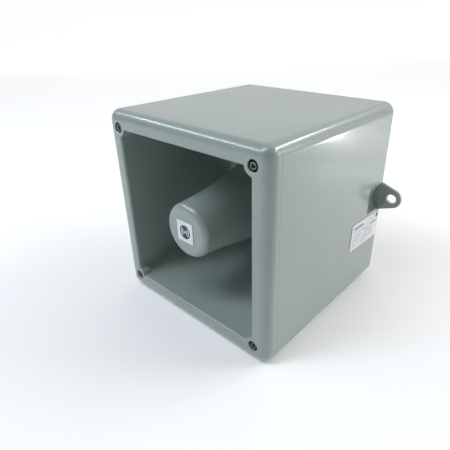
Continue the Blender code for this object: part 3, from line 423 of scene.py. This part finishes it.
# cuts a piece with a closed cutter once, and throws the cutter away
def applyCut(piece, cutter, operation="DIFFERENCE"):
    modifier = piece.modifiers.new("cut", "BOOLEAN")
    modifier.object = cutter
    modifier.operation = operation
    modifier.solver = "EXACT"
    bpy.context.view_layer.update()
    cutMesh = bpy.data.meshes.new_from_object(piece.evaluated_get(bpy.context.evaluated_depsgraph_get()))
    piece.modifiers.remove(modifier)
    old = piece.data
    piece.data = cutMesh
    bpy.data.meshes.remove(old)
    bpy.data.objects.remove(cutter)
    cutMesh.shade_smooth()
    cutMesh.set_sharp_from_angle(angle=math.radians(32))


# the horn moulding: rim, mouth and flare

horn = dict(
    rimDepth=0.013, frontRadius=0.0095, wall=0.0035,
    mouthHalf=0.0820, mouthCorner=0.004, lip=0.0022,
    flareDepth=0.136, floorHalf=0.060, flarePower=4.0, cornerPower=2.0, flareWall=0.003,
    tubeHole=0.0125, tongueWall=0.0022, tongueLength=0.011, tongueGap=0.0034,
    screwHalf=0.0838, bossRadius=0.0088, bossDepth=0.0095, bossSoft=0.0012, bossEdge=0.0008,
    recess=0.0049, recessDepth=0.0062, recessEdge=0.0004, shankHole=0.0029, columnWall=0.002,
    columnEnd=0.0603,
)
screwPlaces = [(x * horn["screwHalf"], z * horn["screwHalf"]) for x in (-1, 1) for z in (-1, 1)]


# half width and corner of the flare: the sides run straight, then turn in to the floor as a superellipse
def flareAt(share, offset=0.0):
    share = np.asarray(share)
    bulge = np.sqrt(1 - share ** horn["flarePower"])
    half = horn["floorHalf"] + (horn["mouthHalf"] - horn["floorHalf"]) * bulge
    corner = horn["mouthCorner"] + (half - 0.0004 - horn["mouthCorner"]) * share ** horn["cornerPower"]
    return half + offset, corner + offset


# rows of the flare's profile from a depth to its floor, closer together towards the floor
def flareRows(offset, start, count):
    end = horn["flareDepth"] + offset
    share = 1 - (1 - start / end) * (1 - np.linspace(0, 1, count)) ** 2
    half, corner = flareAt(share, offset)
    return half, corner, share * end


# one closed profile carried round: rim, front edge, lip, flare and floor, and back behind them to the tongue
def hornShell():
    turn = angles(*[(45 + k * 90, 6.5, 0.25) for k in range(4)],
                  *[(45 + k * 90, 11.0, 22.0) for k in range(4)],
                  coarse=math.radians(1.5))
    sections = []  # (half, corner, depth) round the whole closed profile

    def add(half, corner, depth):
        half, corner, depth = np.broadcast_arrays(np.atleast_1d(half), corner, depth)
        sections.append(np.stack([half, corner, depth], axis=-1))

    edge, wall = siren["edgeRadius"], horn["wall"]
    skirt = np.linspace(horn["rimDepth"], horn["frontRadius"] + 0.0004, 4)
    add(np.array([halfAt(d) for d in skirt]), edge, skirt)
    out, ahead = arc(horn["frontRadius"], 0, 90, 19)
    inset = horn["frontRadius"] - out
    add(halfAt(horn["frontRadius"]) - inset, np.maximum(edge - inset, 0.001), horn["frontRadius"] - ahead)
    rimInner = halfAt(horn["frontRadius"]) - horn["frontRadius"]
    lipOuter = float(flareAt(0.0)[0]) + horn["lip"]
    add(np.linspace(rimInner, lipOuter, 6)[1:-1], 0.003, 0.0)
    lipStart = sum(map(len, sections))
    out, ahead = arc(horn["lip"], 90, 0, 9)
    half, corner = flareAt(horn["lip"] / horn["flareDepth"])
    add(half + horn["lip"] - out, corner + horn["lip"] - out, horn["lip"] - ahead)
    add(*flareAt(np.linspace(0.0025, 0.0095, 8) / horn["flareDepth"]), np.linspace(0.0025, 0.0095, 8))
    add(*flareRows(0.0, 0.0098, 44))
    flareEnd = sum(map(len, sections))
    floor = np.linspace(horn["floorHalf"], horn["tubeHole"], 14)[1:]
    add(floor, floor - 0.0002, horn["flareDepth"])
    back = horn["flareDepth"] + horn["flareWall"]
    behind = np.linspace(horn["tubeHole"], horn["floorHalf"] + horn["flareWall"], 6)
    add(behind, behind - 0.0002, back)
    half, corner, depth = flareRows(horn["flareWall"], wall, 24)
    add(half[-2::-1], corner[-2::-1], depth[-2::-1])
    tongueOut = halfAt(horn["rimDepth"] + horn["tongueLength"]) - wall - horn["tongueGap"]
    tongueIn = tongueOut - horn["tongueWall"]
    tongueEnd = horn["rimDepth"] + horn["tongueLength"]
    add(tongueIn, edge - wall - horn["tongueWall"], np.array([wall, tongueEnd]))
    add(tongueOut, edge - wall, np.array([tongueEnd, wall]))
    add(np.array([halfAt(wall), halfAt(horn["rimDepth"])]) - wall, edge - wall,
        np.array([wall, horn["rimDepth"]]))
    rows = np.concatenate(sections)
    radii = roundSquare(rows[:, 0], rows[:, 1], turn)
    depths = rows[:, 2]

    # where the screw bosses stand into the mouth, the mouth's surface is drawn in to them
    inside = np.zeros(len(rows), bool)
    inside[lipStart:flareEnd] = True
    head = np.where(depths < horn["bossDepth"], horn["bossRadius"], 0.0)
    edgeRise = np.clip(1 - depths / horn["bossEdge"], 0, 1)
    head = head - horn["bossEdge"] * (1 - np.sqrt(1 - edgeRise**2))
    slim = horn["shankHole"] + horn["columnWall"]
    reach = np.where(depths < horn["bossDepth"], head, np.where(depths < horn["columnEnd"], slim, 0.0))
    for place in screwPlaces:
        drawn = softLess(radii, nearSide(reach, place, turn), horn["bossSoft"])
        radii = np.where(inside[:, None], drawn, radii)
    return stack(radii, depths, turn, ends="loop")


# four stepped holes with a small chamfer, in one mesh
def screwHoleCutter():
    recess, edge = horn["recess"], horn["recessEdge"]
    profile = [(horn["shankHole"], 0.0125), (horn["shankHole"], horn["recessDepth"]),
               (recess, horn["recessDepth"]), (recess, edge), (recess + edge + 0.001, -0.001)]
    return makePiece("screwHoles", [turnedShell(profile, 56, place) for place in screwPlaces], housing, None)


# the boss and the slim tube behind it, round each screw
def columnShells():
    bossR, slim, hole = horn["bossRadius"] - 0.0001, horn["shankHole"] + horn["columnWall"], horn["shankHole"]
    shells = []
    for place in screwPlaces:
        shells.append(turnedShell(
            [(hole, horn["columnEnd"]), (slim, horn["columnEnd"]), (slim, horn["bossDepth"]),
             (bossR, horn["bossDepth"]), (bossR, 0.0036), (horn["recess"] + 0.0003, 0.0036),
             (horn["recess"] + 0.0003, horn["recessDepth"] + 0.0002), (hole, horn["recessDepth"] + 0.0002)],
            48, place, "loop"))
    return shells


housing = slotFinish["housing"]
hornPiece = makePiece("hornMoulding", [hornShell()], housing, "horn", ["horn_flare"])
applyCut(hornPiece, screwHoleCutter())
columnPiece = makePiece("screwColumns", columnShells(), housing, "horn")
print("horn made, %d faces" % len(hornPiece.data.polygons))

# the bullet

bullet = dict(
    front=0.003, radius=0.027, edge=0.006, slope=0.0493, curve=1.135, end=0.116, wall=0.0025,
    legRadius=0.0376, legHalf=0.0042, legAngles=(30, 150, 270),
)


# radius of the bullet: nearly straight at first, then opening as the square of the run
def bulletSide(depth, offset=0.0):
    run = np.maximum(depth - bullet["front"] - bullet["edge"], 0.0)
    return bullet["radius"] + bullet["slope"] * run + bullet["curve"] * run**2 - offset


# a turned profile: the face, its round edge, the side, the rolled rim, and the same way back inside
def bulletShell():
    sideStart = bullet["front"] + bullet["edge"]
    depth = np.linspace(sideStart, bullet["end"] - 0.0012, 46)
    outX, outY = arc(bullet["edge"], 0, 90, 14)
    inner = bullet["edge"] - bullet["wall"]
    inX, inY = arc(inner, 90, 0, 8)
    face = bullet["radius"] - bullet["edge"]
    rimX, rimY = arc(bullet["wall"] / 2, -180, 0, 9)
    rimMiddle = bulletSide(bullet["end"]) - bullet["wall"] / 2
    parts = [
        np.stack([np.linspace(0.002, face, 8), np.full(8, bullet["front"])], -1),
        np.stack([face + outX[::-1], sideStart - outY[::-1]], -1)[1:],
        np.stack([bulletSide(depth), depth], -1)[1:],
        np.stack([rimMiddle - rimX, bullet["end"] - 0.0012 - rimY], -1)[1:-1],
        np.stack([bulletSide(depth[::-1], bullet["wall"]), depth[::-1]], -1),
        np.stack([face + inX[::-1], sideStart - inY[::-1]], -1)[1:],
        np.stack([np.linspace(face, 0.002, 6), np.full(6, bullet["front"] + bullet["wall"])], -1)[1:],
    ]
    return turnedShell(np.concatenate(parts), 128)


# a block that stands on the axis' plane: reach is its radial range, turned to an angle
def slab(reach, tangent, depths, degrees):
    a = math.radians(degrees)
    corners = [(r, d, t) for d in depths for r, t in
               ((reach[0], -tangent), (reach[1], -tangent), (reach[1], tangent), (reach[0], tangent))]
    verts = np.array([
        (r * math.cos(a) - t * math.sin(a), faceY + d, axisZ + r * math.sin(a) + t * math.cos(a))
        for r, d, t in corners])
    return outward(verts,
                   [[0, 1, 2, 3], [7, 6, 5, 4], [0, 4, 5, 1], [1, 5, 6, 2], [2, 6, 7, 3], [3, 7, 4, 0]])


legShells = [
    slab((bullet["legRadius"] - bullet["legHalf"], bulletSide(bullet["end"]) - 0.0013), bullet["legHalf"],
         (bullet["end"] - bullet["legHalf"], horn["flareDepth"] - 0.0004), degrees)
    for degrees in bullet["legAngles"]]
makePiece("bulletMoulding", [bulletShell(), *legShells], housing, "horn", ["bullet"])
print("bullet made")

# the box behind: its outside, troughs, lugs and the pillars inside

box = dict(
    seam=0.0132, backRadius=0.0015, backWall=0.004, wall=0.0035,
    lugAt=0.1090, lugHole=0.005, lugEnd=0.010, lugRootHalf=0.0142, lugThickness=0.004, lugEdge=0.0007,
    trough=0.0186, troughLength=0.026, troughRound=0.006, troughSoft=0.0022,
    pillar=0.0062, pillarHole=0.0046, pillarFront=0.0607, pillarLength=0.022, pillarHoleDepth=0.0136,
    boss=0.0045, bossHole=0.0019, bossFront=0.1832, bossHalf=0.066,
)


# radius of the trough at a depth: a quarter circle at its front end, then a plain cylinder
def troughReach(depth, grow=0.0):
    start = siren["depth"] - box["lugThickness"] - box["troughLength"] - grow
    into = np.asarray(depth) - start
    bend = box["troughRound"] + grow
    rounding = np.sqrt(np.maximum(bend**2 - np.maximum(bend - into, 0.0) ** 2, 0.0))
    return np.where(into > 0, box["trough"] + grow - bend + rounding, 0.0)


# rows from the seam to the back and, inside, from the back wall to the seam; the troughs are
# taken off the sides
def boxShell():
    turn = angles(*[(45 + k * 90, 8, 0.5) for k in range(4)], (0, 12.5, 0.5), (180, 12.5, 0.5))
    back, edge, wall = siren["depth"], siren["edgeRadius"], box["wall"]
    lugFace = back - box["lugThickness"]
    rows = []  # half, corner, depth, trough radius
    plain = np.linspace(box["seam"], 0.156, 20)
    near = np.linspace(0.158, lugFace - 0.0001, 60)
    for depth in np.concatenate([plain, near]):
        rows.append((halfAt(depth), edge, depth, float(troughReach(depth))))
    rows.append((halfAt(lugFace), edge, lugFace, 0.0))
    radius = box["backRadius"]
    out, ahead = arc(radius, 0, 90, 6)
    for o, a in zip(out, ahead):
        rows.append((halfAt(back) - radius + o, edge - radius + o, back - radius + a, 0.0))
    for share in np.linspace(1, 0.02, 9)[1:]:
        half = (halfAt(back) - radius) * share
        rows.append((half, (edge - radius) * share, back, 0.0))
    outsideEnd = len(rows)
    for share in np.linspace(0.02, 1, 9):
        half = (halfAt(back - box["backWall"]) - wall) * share
        rows.append((half, (edge - wall) * share, back - box["backWall"], 0.0))
    floor = back - box["backWall"]
    for depth in np.concatenate([np.linspace(floor - 0.0002, 0.152, 44),
                                 np.linspace(0.150, box["seam"], 12)]):
        rows.append((halfAt(depth) - wall, edge - wall, depth, float(troughReach(depth, wall))))
    rows = np.array(rows)
    radii = roundSquare(rows[:, 0], rows[:, 1], turn)
    for side in (-1, 1):
        reach = nearSide(rows[:, 3], (side * box["lugAt"], 0.0), turn)
        radii = softLess(radii, reach, box["troughSoft"])
    return radii, rows[:, 2], turn, outsideEnd


# the outside and the inside are one surface that folds over at the seam
def boxStack():
    radii, depths, turn, middle = boxShell()
    # the back and the floor each close on the axis, so the rows are cut there and joined at the seam instead
    outside, inside = slice(0, middle), slice(middle, None)
    radii = np.concatenate([radii[inside], radii[outside]])
    depths = np.concatenate([depths[inside], depths[outside]])
    return stack(radii, depths, turn)


# a flat ear about its hole: the outline is the hull of a circle and the root line, with broken edges
def lugShell(side):
    turn = angles((0, 100, 2.0), (150, 8, 2), (210, 8, 2), coarse=math.radians(3))
    root = box["lugAt"] - (halfAt(siren["depth"]) - 0.0012)
    lean = math.asin((box["lugRootHalf"] - box["lugEnd"]) / (box["lugAt"] - halfAt(siren["depth"])))
    bearing = np.abs(np.mod(turn + np.pi, 2 * np.pi) - np.pi)
    tangent = math.pi / 2 - lean
    taper = np.where(bearing > tangent, box["lugEnd"] / np.maximum(np.cos(bearing - tangent), 0.05),
                     box["lugEnd"])
    rootLine = np.where(np.cos(bearing) < -0.05, root / np.maximum(-np.cos(bearing), 0.05), 1.0)
    outline = np.minimum(taper, rootLine)
    edge, thick = box["lugEdge"], box["lugThickness"]
    front, back = siren["depth"] - thick + 0.00005, siren["depth"] - 0.00005
    out, ahead = arc(edge, 90, 0, 5)
    rows, depths = [], []
    for o, a in zip(out, ahead):
        rows.append(outline - edge + o)
        depths.append(front + edge - a)
    for o, a in zip(out[::-1], ahead[::-1]):
        rows.append(outline - edge + o)
        depths.append(back - edge + a)
    hole = np.full_like(turn, box["lugHole"])
    for o, d in ((edge * 0.5, back), (0.0, back - edge * 0.5), (0.0, front + edge * 0.5),
                 (edge * 0.5, front)):
        rows.append(hole + o)
        depths.append(d)
    facing = turn if side > 0 else np.pi - turn
    return stack(np.array(rows), np.array(depths), facing, (side * box["lugAt"], 0.0), "loop")


# a round pillar with a blind hole in its front
def tube(outer, inner, front, holeEnd, end, place, steps=32):
    soft = 0.0003
    return turnedShell(
        [(inner * 0.5, holeEnd), (inner, holeEnd), (inner, front), (outer - soft, front),
         (outer, front + soft), (outer, end), (outer * 0.5, end)], steps, place)


# moves a slab along its own tangent
def shifted(shell, degrees, amount):
    a = math.radians(degrees)
    verts, faces = shell
    return verts + np.array([-math.sin(a), 0.0, math.cos(a)]) * amount, faces


# the four pillars with their webs to the walls, and the four bosses of the board
def boxInside():
    shells = []
    for x, z in screwPlaces:
        end = box["pillarFront"] + box["pillarLength"]
        shells.append(tube(box["pillar"], box["pillarHole"], box["pillarFront"],
                           box["pillarFront"] + box["pillarHoleDepth"], end, (x, z)))
        reach = halfAt(end) - box["wall"] / 2
        web = box["pillar"] * 0.6
        sx, sz = math.copysign(1, x), math.copysign(1, z)
        for degrees, centre in ((0 if sx > 0 else 180, z * sx), (90 if sz > 0 else 270, -x * sz)):
            depths = (box["pillarFront"] + 0.0004, end - 0.0004)
            shells.append(shifted(slab((abs(x), reach), web, depths, degrees), degrees, centre))
    for x in (-1, 1):
        for z in (-1, 1):
            place = (x * box["bossHalf"], z * box["bossHalf"])
            floor = siren["depth"] - box["backWall"]
            shells.append(tube(box["boss"], box["bossHole"], box["bossFront"], floor - 0.0002,
                               siren["depth"] - box["backWall"] / 2, place, 24))
    return shells


boxPiece = makePiece("boxMoulding", [boxStack()], housing, "box", ["rear_housing"])
makePiece("wallLugs", [lugShell(-1), lugShell(1)], housing, "box")
makePiece("boxPillars", boxInside(), housing, "box")
print("box made, %d faces" % len(boxPiece.data.polygons))


# the four cover screws: a socket head with a broken edge, and a shank down to the thread insert

# worn is the radius of the painted glint: lighter steel about the socket
coverScrew = dict(head=0.0043, headEdge=0.0007, headLength=0.005, socket=0.00205, socketDepth=0.0026,
                  socketEdge=0.00018, shank=0.0025, worn=0.0027)


# a turned head and shank, whose socket rows are a hexagon in place of a circle
def screwShell(place, low, high):
    turn = evenAngles(72)
    top, bottom = low, low + coverScrew["headLength"]
    head, edge, lead = coverScrew["head"], coverScrew["headEdge"], coverScrew["socketEdge"]
    out, ahead = arc(edge, 0, 90, 6)
    hexagon = sixSided(coverScrew["socket"], turn)
    rim = np.maximum(hexagon + lead, coverScrew["socket"] * 1.13)
    flat, bottomOfSocket = np.ones_like(turn), top + coverScrew["socketDepth"]
    rows = [(flat * 0.0006, high), (flat * (coverScrew["shank"] - 0.0004), high),
            (flat * coverScrew["shank"], high - 0.0005), (flat * coverScrew["shank"], bottom),
            (flat * (head - 0.0002), bottom), (flat * head, bottom - 0.0003)]
    rows += [(flat * (head - edge + o), top + edge - a) for o, a in zip(out, ahead)]
    rows += [(rim + 0.0004, top), (rim, top + 0.00002), (hexagon, top + lead),
             (hexagon, bottomOfSocket), (flat * 0.0009, bottomOfSocket + 0.0007),
             (flat * 0.0002, bottomOfSocket + 0.0009)]
    return stack(np.array([r for r, _ in rows]), np.array([d for _, d in rows]), turn, place)


def coverScrews():
    for number, place in enumerate(screwPlaces, 1):
        low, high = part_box("cover_screw_%d" % number)
        shell = screwShell(place, low[1] - faceY, high[1] - faceY)
        piece = makePiece("coverScrew%d" % number, [shell], slotFinish["dark_screw"], "horn",
                          ["cover_screw_%d" % number])
        piece.data.materials.append(paintedGlintSteel)  # the lighter steel about the socket is a painted glint, standing in for the socket's highlight
        axis = Vector((place[0], 0.0, axisZ + place[1]))
        for face in piece.data.polygons:
            away = face.center - axis
            if math.hypot(away.x, away.z) < coverScrew["worn"] and away.y < low[1] + coverScrew["headLength"]:
                face.material_index = 1


coverScrews()
print("cover screws made")

# plates: the badge on the bullet and the rating label on the side, each a thin sheet with round corners


# a flat plate in its own plane: u runs along it and v up it, and its outline is an oblong with round corners
def plateShell(size, corner, thick, segments=6):
    length, tall = size
    quarter = np.linspace(0, np.pi / 2, segments + 1)
    cx, cz = length / 2 - corner, tall / 2 - corner
    outline = np.concatenate([
        np.stack([sx * cx + corner * np.cos(quarter + k * np.pi / 2),
                  sz * cz + corner * np.sin(quarter + k * np.pi / 2)], -1)
        for k, (sx, sz) in enumerate(((1, 1), (-1, 1), (-1, -1), (1, -1)))])
    count = len(outline)
    soft = thick * 0.35
    shrink = 1 - soft / np.array([length / 2, tall / 2])
    rings = [(outline * shrink, 0.0), (outline, soft), (outline, thick)]
    sheets = [np.stack([ring[:, 0], np.full(count, depth), ring[:, 1]], -1) for ring, depth in rings]
    verts = np.concatenate(sheets)
    index = np.arange(3 * count).reshape(3, count)
    faces = np.stack([index[:-1], np.roll(index[:-1], -1, axis=1), np.roll(index[1:], -1, axis=1),
                      index[1:]], -1)
    return outward(verts, faces.reshape(-1, 4).tolist() + [index[0][::-1].tolist(), index[-1].tolist()])


# a map for print: u and v run from 0 to 1 over the plate
def layMap(piece, flat, size):
    layer = piece.data.uv_layers.new(name="print")
    corners = np.empty(len(piece.data.loops), int)
    piece.data.loops.foreach_get("vertex_index", corners)
    layer.data.foreach_set("uv", (flat[corners][:, [0, 2]] / np.array(size) + 0.5).ravel())


def printedFilm(name, paper, ink, pattern):
    finish = Finish(name, paper, 0.32)
    finish.place = finish.node("ShaderNodeUVMap", dict(uv_map="print")).outputs[0]
    split = finish.node("ShaderNodeSeparateXYZ", Vector=finish.place)
    inked = pattern(finish, split.outputs[0], split.outputs[1])
    worn = finish.spread(finish.noise(9.0, 5.0), 0.35, 0.75, 0.0, 0.12)
    base = finish.blend(worn, paper, [c * 0.82 for c in paper])
    finish.link(finish.blend(inked, base, ink), "Base Color")
    finish.link(finish.spread(finish.noise(30.0, 3.0), 0.3, 0.7, 0.28, 0.40), "Roughness")
    return finish.material


# 1 between two values, else 0
def within(finish, value, low, high):
    return finish.maths("MULTIPLY", finish.maths("GREATER_THAN", value, low),
                        finish.maths("LESS_THAN", value, high))


badge = dict(share=0.9, corner=0.0006, disc=0.33, dot=0.055, wedge=0.62,
             bands=((0.115, 0.160), (0.215, 0.260)))


# a dark disc with a dot and two pairs of arcs, as for sound spreading out
def badgePrint(finish, u, v):
    x, z = finish.maths("SUBTRACT", u, 0.5), finish.maths("SUBTRACT", v, 0.5)
    away = finish.maths("SQRT",
                        finish.maths("ADD", finish.maths("MULTIPLY", x, x), finish.maths("MULTIPLY", z, z)))
    sideways = finish.maths("GREATER_THAN", finish.maths("ABSOLUTE", x),
                            finish.maths("MULTIPLY", away, badge["wedge"]))
    light = finish.maths("LESS_THAN", away, badge["dot"])
    for low, high in badge["bands"]:
        light = finish.maths("MAXIMUM", light,
                             finish.maths("MULTIPLY", within(finish, away, low, high), sideways))
    return finish.maths("SUBTRACT", finish.maths("LESS_THAN", away, badge["disc"]), light)


def addBadge():
    low, high = (np.array(corner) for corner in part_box("badge"))
    size = (badge["share"] * (high[0] - low[0]), badge["share"] * (high[2] - low[2]))
    verts, faces = plateShell(size, badge["corner"], high[1] - low[1])
    centre = (low + high) / 2
    placed = verts + np.array([centre[0], low[1], centre[2]])
    finish = printedFilm("badgeFilm", (0.80, 0.82, 0.84), (0.016, 0.017, 0.022), badgePrint)
    piece = makePiece("badgePlate", [(placed, faces)], finish, "horn", ["badge"])
    layMap(piece, verts, size)


label = dict(size=(0.0585, 0.0300), thick=0.0003, corner=0.0012, lean=-2.5, rows=9.0, words=34.0,
             markAt=(0.93, 0.84), markRadius=0.045)


# rows of short grey bars where print would be, a heavier row at the top, a frame line and a round mark
def labelPrint(finish, u, v):
    row = finish.maths("FLOOR", finish.maths("MULTIPLY", v, label["rows"]))
    upRow = finish.maths("FRACT", finish.maths("MULTIPLY", v, label["rows"]))
    word = finish.maths("FLOOR", finish.maths("MULTIPLY", u, label["words"]))
    spot = finish.node("ShaderNodeCombineXYZ", X=word, Y=row).outputs[0]
    chance = finish.node("ShaderNodeTexWhiteNoise", dict(noise_dimensions="2D"), Vector=spot).outputs["Value"]
    rows = finish.maths("MULTIPLY", within(finish, upRow, 0.28, 0.62),
                        finish.maths("GREATER_THAN", chance, 0.42))
    body = finish.maths("MULTIPLY", within(finish, u, 0.07, 0.80), within(finish, v, 0.10, 0.72))
    light = finish.maths("MULTIPLY", finish.maths("MULTIPLY", rows, body), 0.60)
    title = finish.maths("MULTIPLY", within(finish, v, 0.78, 0.86), within(finish, u, 0.07, 0.42))
    corner = finish.maths("MULTIPLY", within(finish, v, 0.60, 0.66), within(finish, u, 0.70, 0.94))
    heavy = finish.maths("MULTIPLY", finish.maths("MAXIMUM", title, corner), 0.78)
    line = finish.maths("MULTIPLY", within(finish, v, 0.735, 0.750), within(finish, u, 0.05, 0.95))
    inked = finish.maths("MAXIMUM", finish.maths("MAXIMUM", light, heavy),
                         finish.maths("MULTIPLY", line, 0.35))
    ratio = label["size"][0] / label["size"][1]
    x = finish.maths("MULTIPLY", finish.maths("SUBTRACT", u, label["markAt"][0]), ratio)
    z = finish.maths("SUBTRACT", v, label["markAt"][1])
    away = finish.maths("SQRT",
                        finish.maths("ADD", finish.maths("MULTIPLY", x, x), finish.maths("MULTIPLY", z, z)))
    return finish.maths("MAXIMUM", inked, finish.maths("LESS_THAN", away, label["markRadius"] * ratio))


# the label faces right, so the plate's own front is turned to +X, leaned with the side and tilted a little
def addLabel():
    low, high = (np.array(corner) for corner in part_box("rating_label"))
    verts, faces = plateShell(label["size"], label["corner"], label["thick"])
    flat = verts.copy()
    verts = verts - np.array([0.0, label["thick"] / 2, 0.0])
    facing = Matrix.Rotation(math.atan2(siren["draft"], siren["depth"]), 3, "Z")
    facing = facing @ Matrix.Rotation(math.radians(label["lean"]), 3, "X")
    facing = facing @ Matrix.Rotation(math.pi / 2, 3, "Z")
    placed = verts @ np.array(facing).T + (low + high) / 2
    finish = printedFilm("labelFilm", (0.74, 0.75, 0.77), (0.05, 0.05, 0.06), labelPrint)
    piece = makePiece("labelPlate", [(placed, faces)], finish, "box", ["rating_label"])
    layMap(piece, flat, label["size"])


addBadge()
addLabel()
print("badge and label made")

# blanking plugs and their seals in the cable entries on the left side

plug = dict(flats=0.01195, height=0.0045, edge=0.0006, dish=0.0052, dishDepth=0.0012, thread=0.0096,
            seal=0.0128, sealHole=0.0100, sealEdge=0.0004)


# stands a turned shape on the left side: its front faces away from the box, square to the leaning wall
def ontoLeft(shell, centre):
    verts, faces = shell
    local = verts - np.array([0.0, faceY, axisZ])
    facing = Matrix.Rotation(-math.pi / 2 - math.atan2(siren["draft"], siren["depth"]), 3, "Z")
    return local @ np.array(facing).T + np.array(centre), faces


# a six-sided head with a dished front, and a thread as rows of two radii by turns
def plugShell(length):
    turn = evenAngles(96)
    flat, edge = np.ones_like(turn), plug["edge"]
    hexagon = np.minimum(sixSided(plug["flats"], turn), plug["flats"] * 1.115)
    out, ahead = arc(edge, 0, 90, 6)
    rows = [(flat * 0.002, length), (flat * (plug["thread"] - 0.0008), length),
            (flat * plug["thread"], length - 0.0008)]
    turns = np.linspace(length - 0.001, plug["height"] + 0.0022, 26)
    rows += [(flat * (plug["thread"] - 0.0005 * (k % 2)), depth) for k, depth in enumerate(turns)]
    rows += [(flat * plug["thread"], plug["height"]), (hexagon, plug["height"])]
    rows += [(hexagon - edge + o, edge - a) for o, a in zip(out, ahead)]
    rows += [(flat * plug["dish"], 0.0), (flat * (plug["dish"] - 0.0005), plug["dishDepth"]),
             (flat * 0.001, plug["dishDepth"])]
    return stack(np.array([r for r, _ in rows]), np.array([d for _, d in rows]), turn)


# a flat ring with its outer edges broken
def sealShell(thick):
    edge = plug["sealEdge"]
    profile = [(plug["sealHole"], thick), (plug["sealHole"], 0.0), (plug["seal"] - edge, 0.0),
               (plug["seal"], edge),
               (plug["seal"], thick - edge), (plug["seal"] - edge, thick)]
    return turnedShell(profile, 64, ends="loop")


def cablePlugs():
    for number in (1, 2):
        low, high = (np.array(corner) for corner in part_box("cable_plug_%d" % number))
        sealLow, sealHigh = (np.array(corner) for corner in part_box("plug_seal_%d" % number))
        middle = (sealLow + sealHigh) / 2
        lean = math.atan2(siren["draft"], siren["depth"])
        thick = 0.0015
        out = np.array([-math.cos(lean), math.sin(lean), 0.0])
        sealFront = middle + out * thick / 2
        plugFront = sealFront + out * (plug["height"] + 0.0004)
        length = (high[0] - low[0]) * 0.985
        makePiece("blankingPlug%d" % number, [ontoLeft(plugShell(length), plugFront)],
                  slotFinish["black_plastic"], "box", ["cable_plug_%d" % number])
        makePiece("plugSeal%d" % number, [ontoLeft(sealShell(thick), sealFront)], slotFinish["rubber"],
                  "box", ["plug_seal_%d" % number])


cablePlugs()
print("cable plugs made")

# floor, light and background

studio = dict(
    floor=30.0, floorTone=(0.90, 0.90, 0.91), floorRoughness=0.7, glowNear=0.10, glowFar=0.58,
    roomAll=0.03, roomBack=0.68,
    # name: (place, size along, size across, power, tone)
    lights=dict(
        highFill=((-0.05, -0.55, 1.55), 0.4, 0.4, 3.8, "plain"),
        highKey=((-0.40, -0.85, 1.35), 0.4, 0.4, 7.2, "cool"),
        leftStrip=((-0.95, -0.78, 1.02), 1.1, 0.12, 7.0, "cool"),
        rightStrip=((0.75, 1.0, 1.05), 1.1, 0.12, 9.0, "plain"),
        lowLamp=((0.33, 0.407, 0.066), 0.036, 0.036, 0.15, "plain"),
        backWash=((1.05, 0.95, 0.45), 0.5, 0.5, 2.4, "plain"),
    ),
    tones=dict(plain=(1.0, 1.0, 0.985), cool=(0.83, 0.915, 1.0)),
    roomTone=(0.99, 0.985, 1.0),
)


def addStage():
    size = studio["floor"]
    steps = np.linspace(-size, size, 5)
    x, y = np.meshgrid(steps, steps)
    verts = np.stack([x, y, np.full_like(x, cadBounds[0][2] - 0.0005)], -1).reshape(-1, 3)
    index = np.arange(25).reshape(5, 5)
    faces = np.stack([index[:-1, :-1], index[:-1, 1:], index[1:, 1:], index[1:, :-1]], -1).reshape(-1, 4)
    rough = studio["floorRoughness"]
    finish = Finish("studioFloor", studio["floorTone"], rough)
    finish.link(finish.spread(finish.noise(3.0, 2.0), 0.3, 0.7, rough - 0.05, rough + 0.05), "Roughness")
    away = finish.node("ShaderNodeVectorMath", dict(operation="DOT_PRODUCT"), Vector=finish.place)
    away.inputs[1].default_value = (-0.7, 0.7, 0.0)
    glow = finish.spread(away.outputs["Value"], 0.1, 2.2, studio["glowNear"],
                         studio["glowNear"] + studio["glowFar"])
    finish.set("Emission Color", (1.0, 1.0, 1.0, 1.0))
    finish.link(glow, "Emission Strength")
    mesh = bpy.data.meshes.new("studioFloor")
    mesh.from_pydata(verts.tolist(), [], faces.tolist())
    mesh.materials.append(finish.material)
    floor = bpy.data.objects.new("studioFloor", mesh)
    bpy.context.scene.collection.objects.link(floor)


def addLight(name, place, along, across, power, tone):
    data = bpy.data.lights.new(name, "AREA")
    data.shape = "RECTANGLE"
    data.size = along
    data.size_y = across
    data.energy = power
    data.color = studio["tones"][tone]
    light = bpy.data.objects.new(name, data)
    bpy.context.scene.collection.objects.link(light)
    light.location = place
    aim = Vector((0.0, 0.0, 0.1)) - Vector(place)
    light.rotation_euler = aim.to_track_quat("-Z", "Y").to_euler()


# the room is bright behind the siren and dim on the side that the mouth faces
def addWorld():
    world = bpy.data.worlds.new("room")
    bpy.context.scene.world = world
    world.use_nodes = True
    tree = world.node_tree
    back = tree.nodes["Background"]
    split = tree.nodes.new("ShaderNodeSeparateXYZ")
    tree.links.new(tree.nodes.new("ShaderNodeTexCoord").outputs["Generated"], split.inputs[0])
    shift = tree.nodes.new("ShaderNodeMapRange")
    shift.interpolation_type = "SMOOTHSTEP"
    limits = (-0.55, 0.75, studio["roomAll"], studio["roomAll"] + studio["roomBack"])
    for key, number in zip(("From Min", "From Max", "To Min", "To Max"), limits):
        shift.inputs[key].default_value = number
    tree.links.new(split.outputs["Y"], shift.inputs["Value"])
    seen = tree.nodes.new("ShaderNodeMix")  # seen directly, the room is plain white
    tree.links.new(tree.nodes.new("ShaderNodeLightPath").outputs["Is Camera Ray"], seen.inputs[0])
    tree.links.new(shift.outputs["Result"], seen.inputs[2])
    seen.inputs[3].default_value = 1.0
    tree.links.new(seen.outputs[0], back.inputs["Strength"])
    back.inputs["Color"].default_value = (*studio["roomTone"], 1.0)


addStage()
addWorld()
for lightName, values in studio["lights"].items():
    addLight(lightName, *values)
bpy.context.scene.view_settings.view_transform = "Standard"
print("floor and light set")
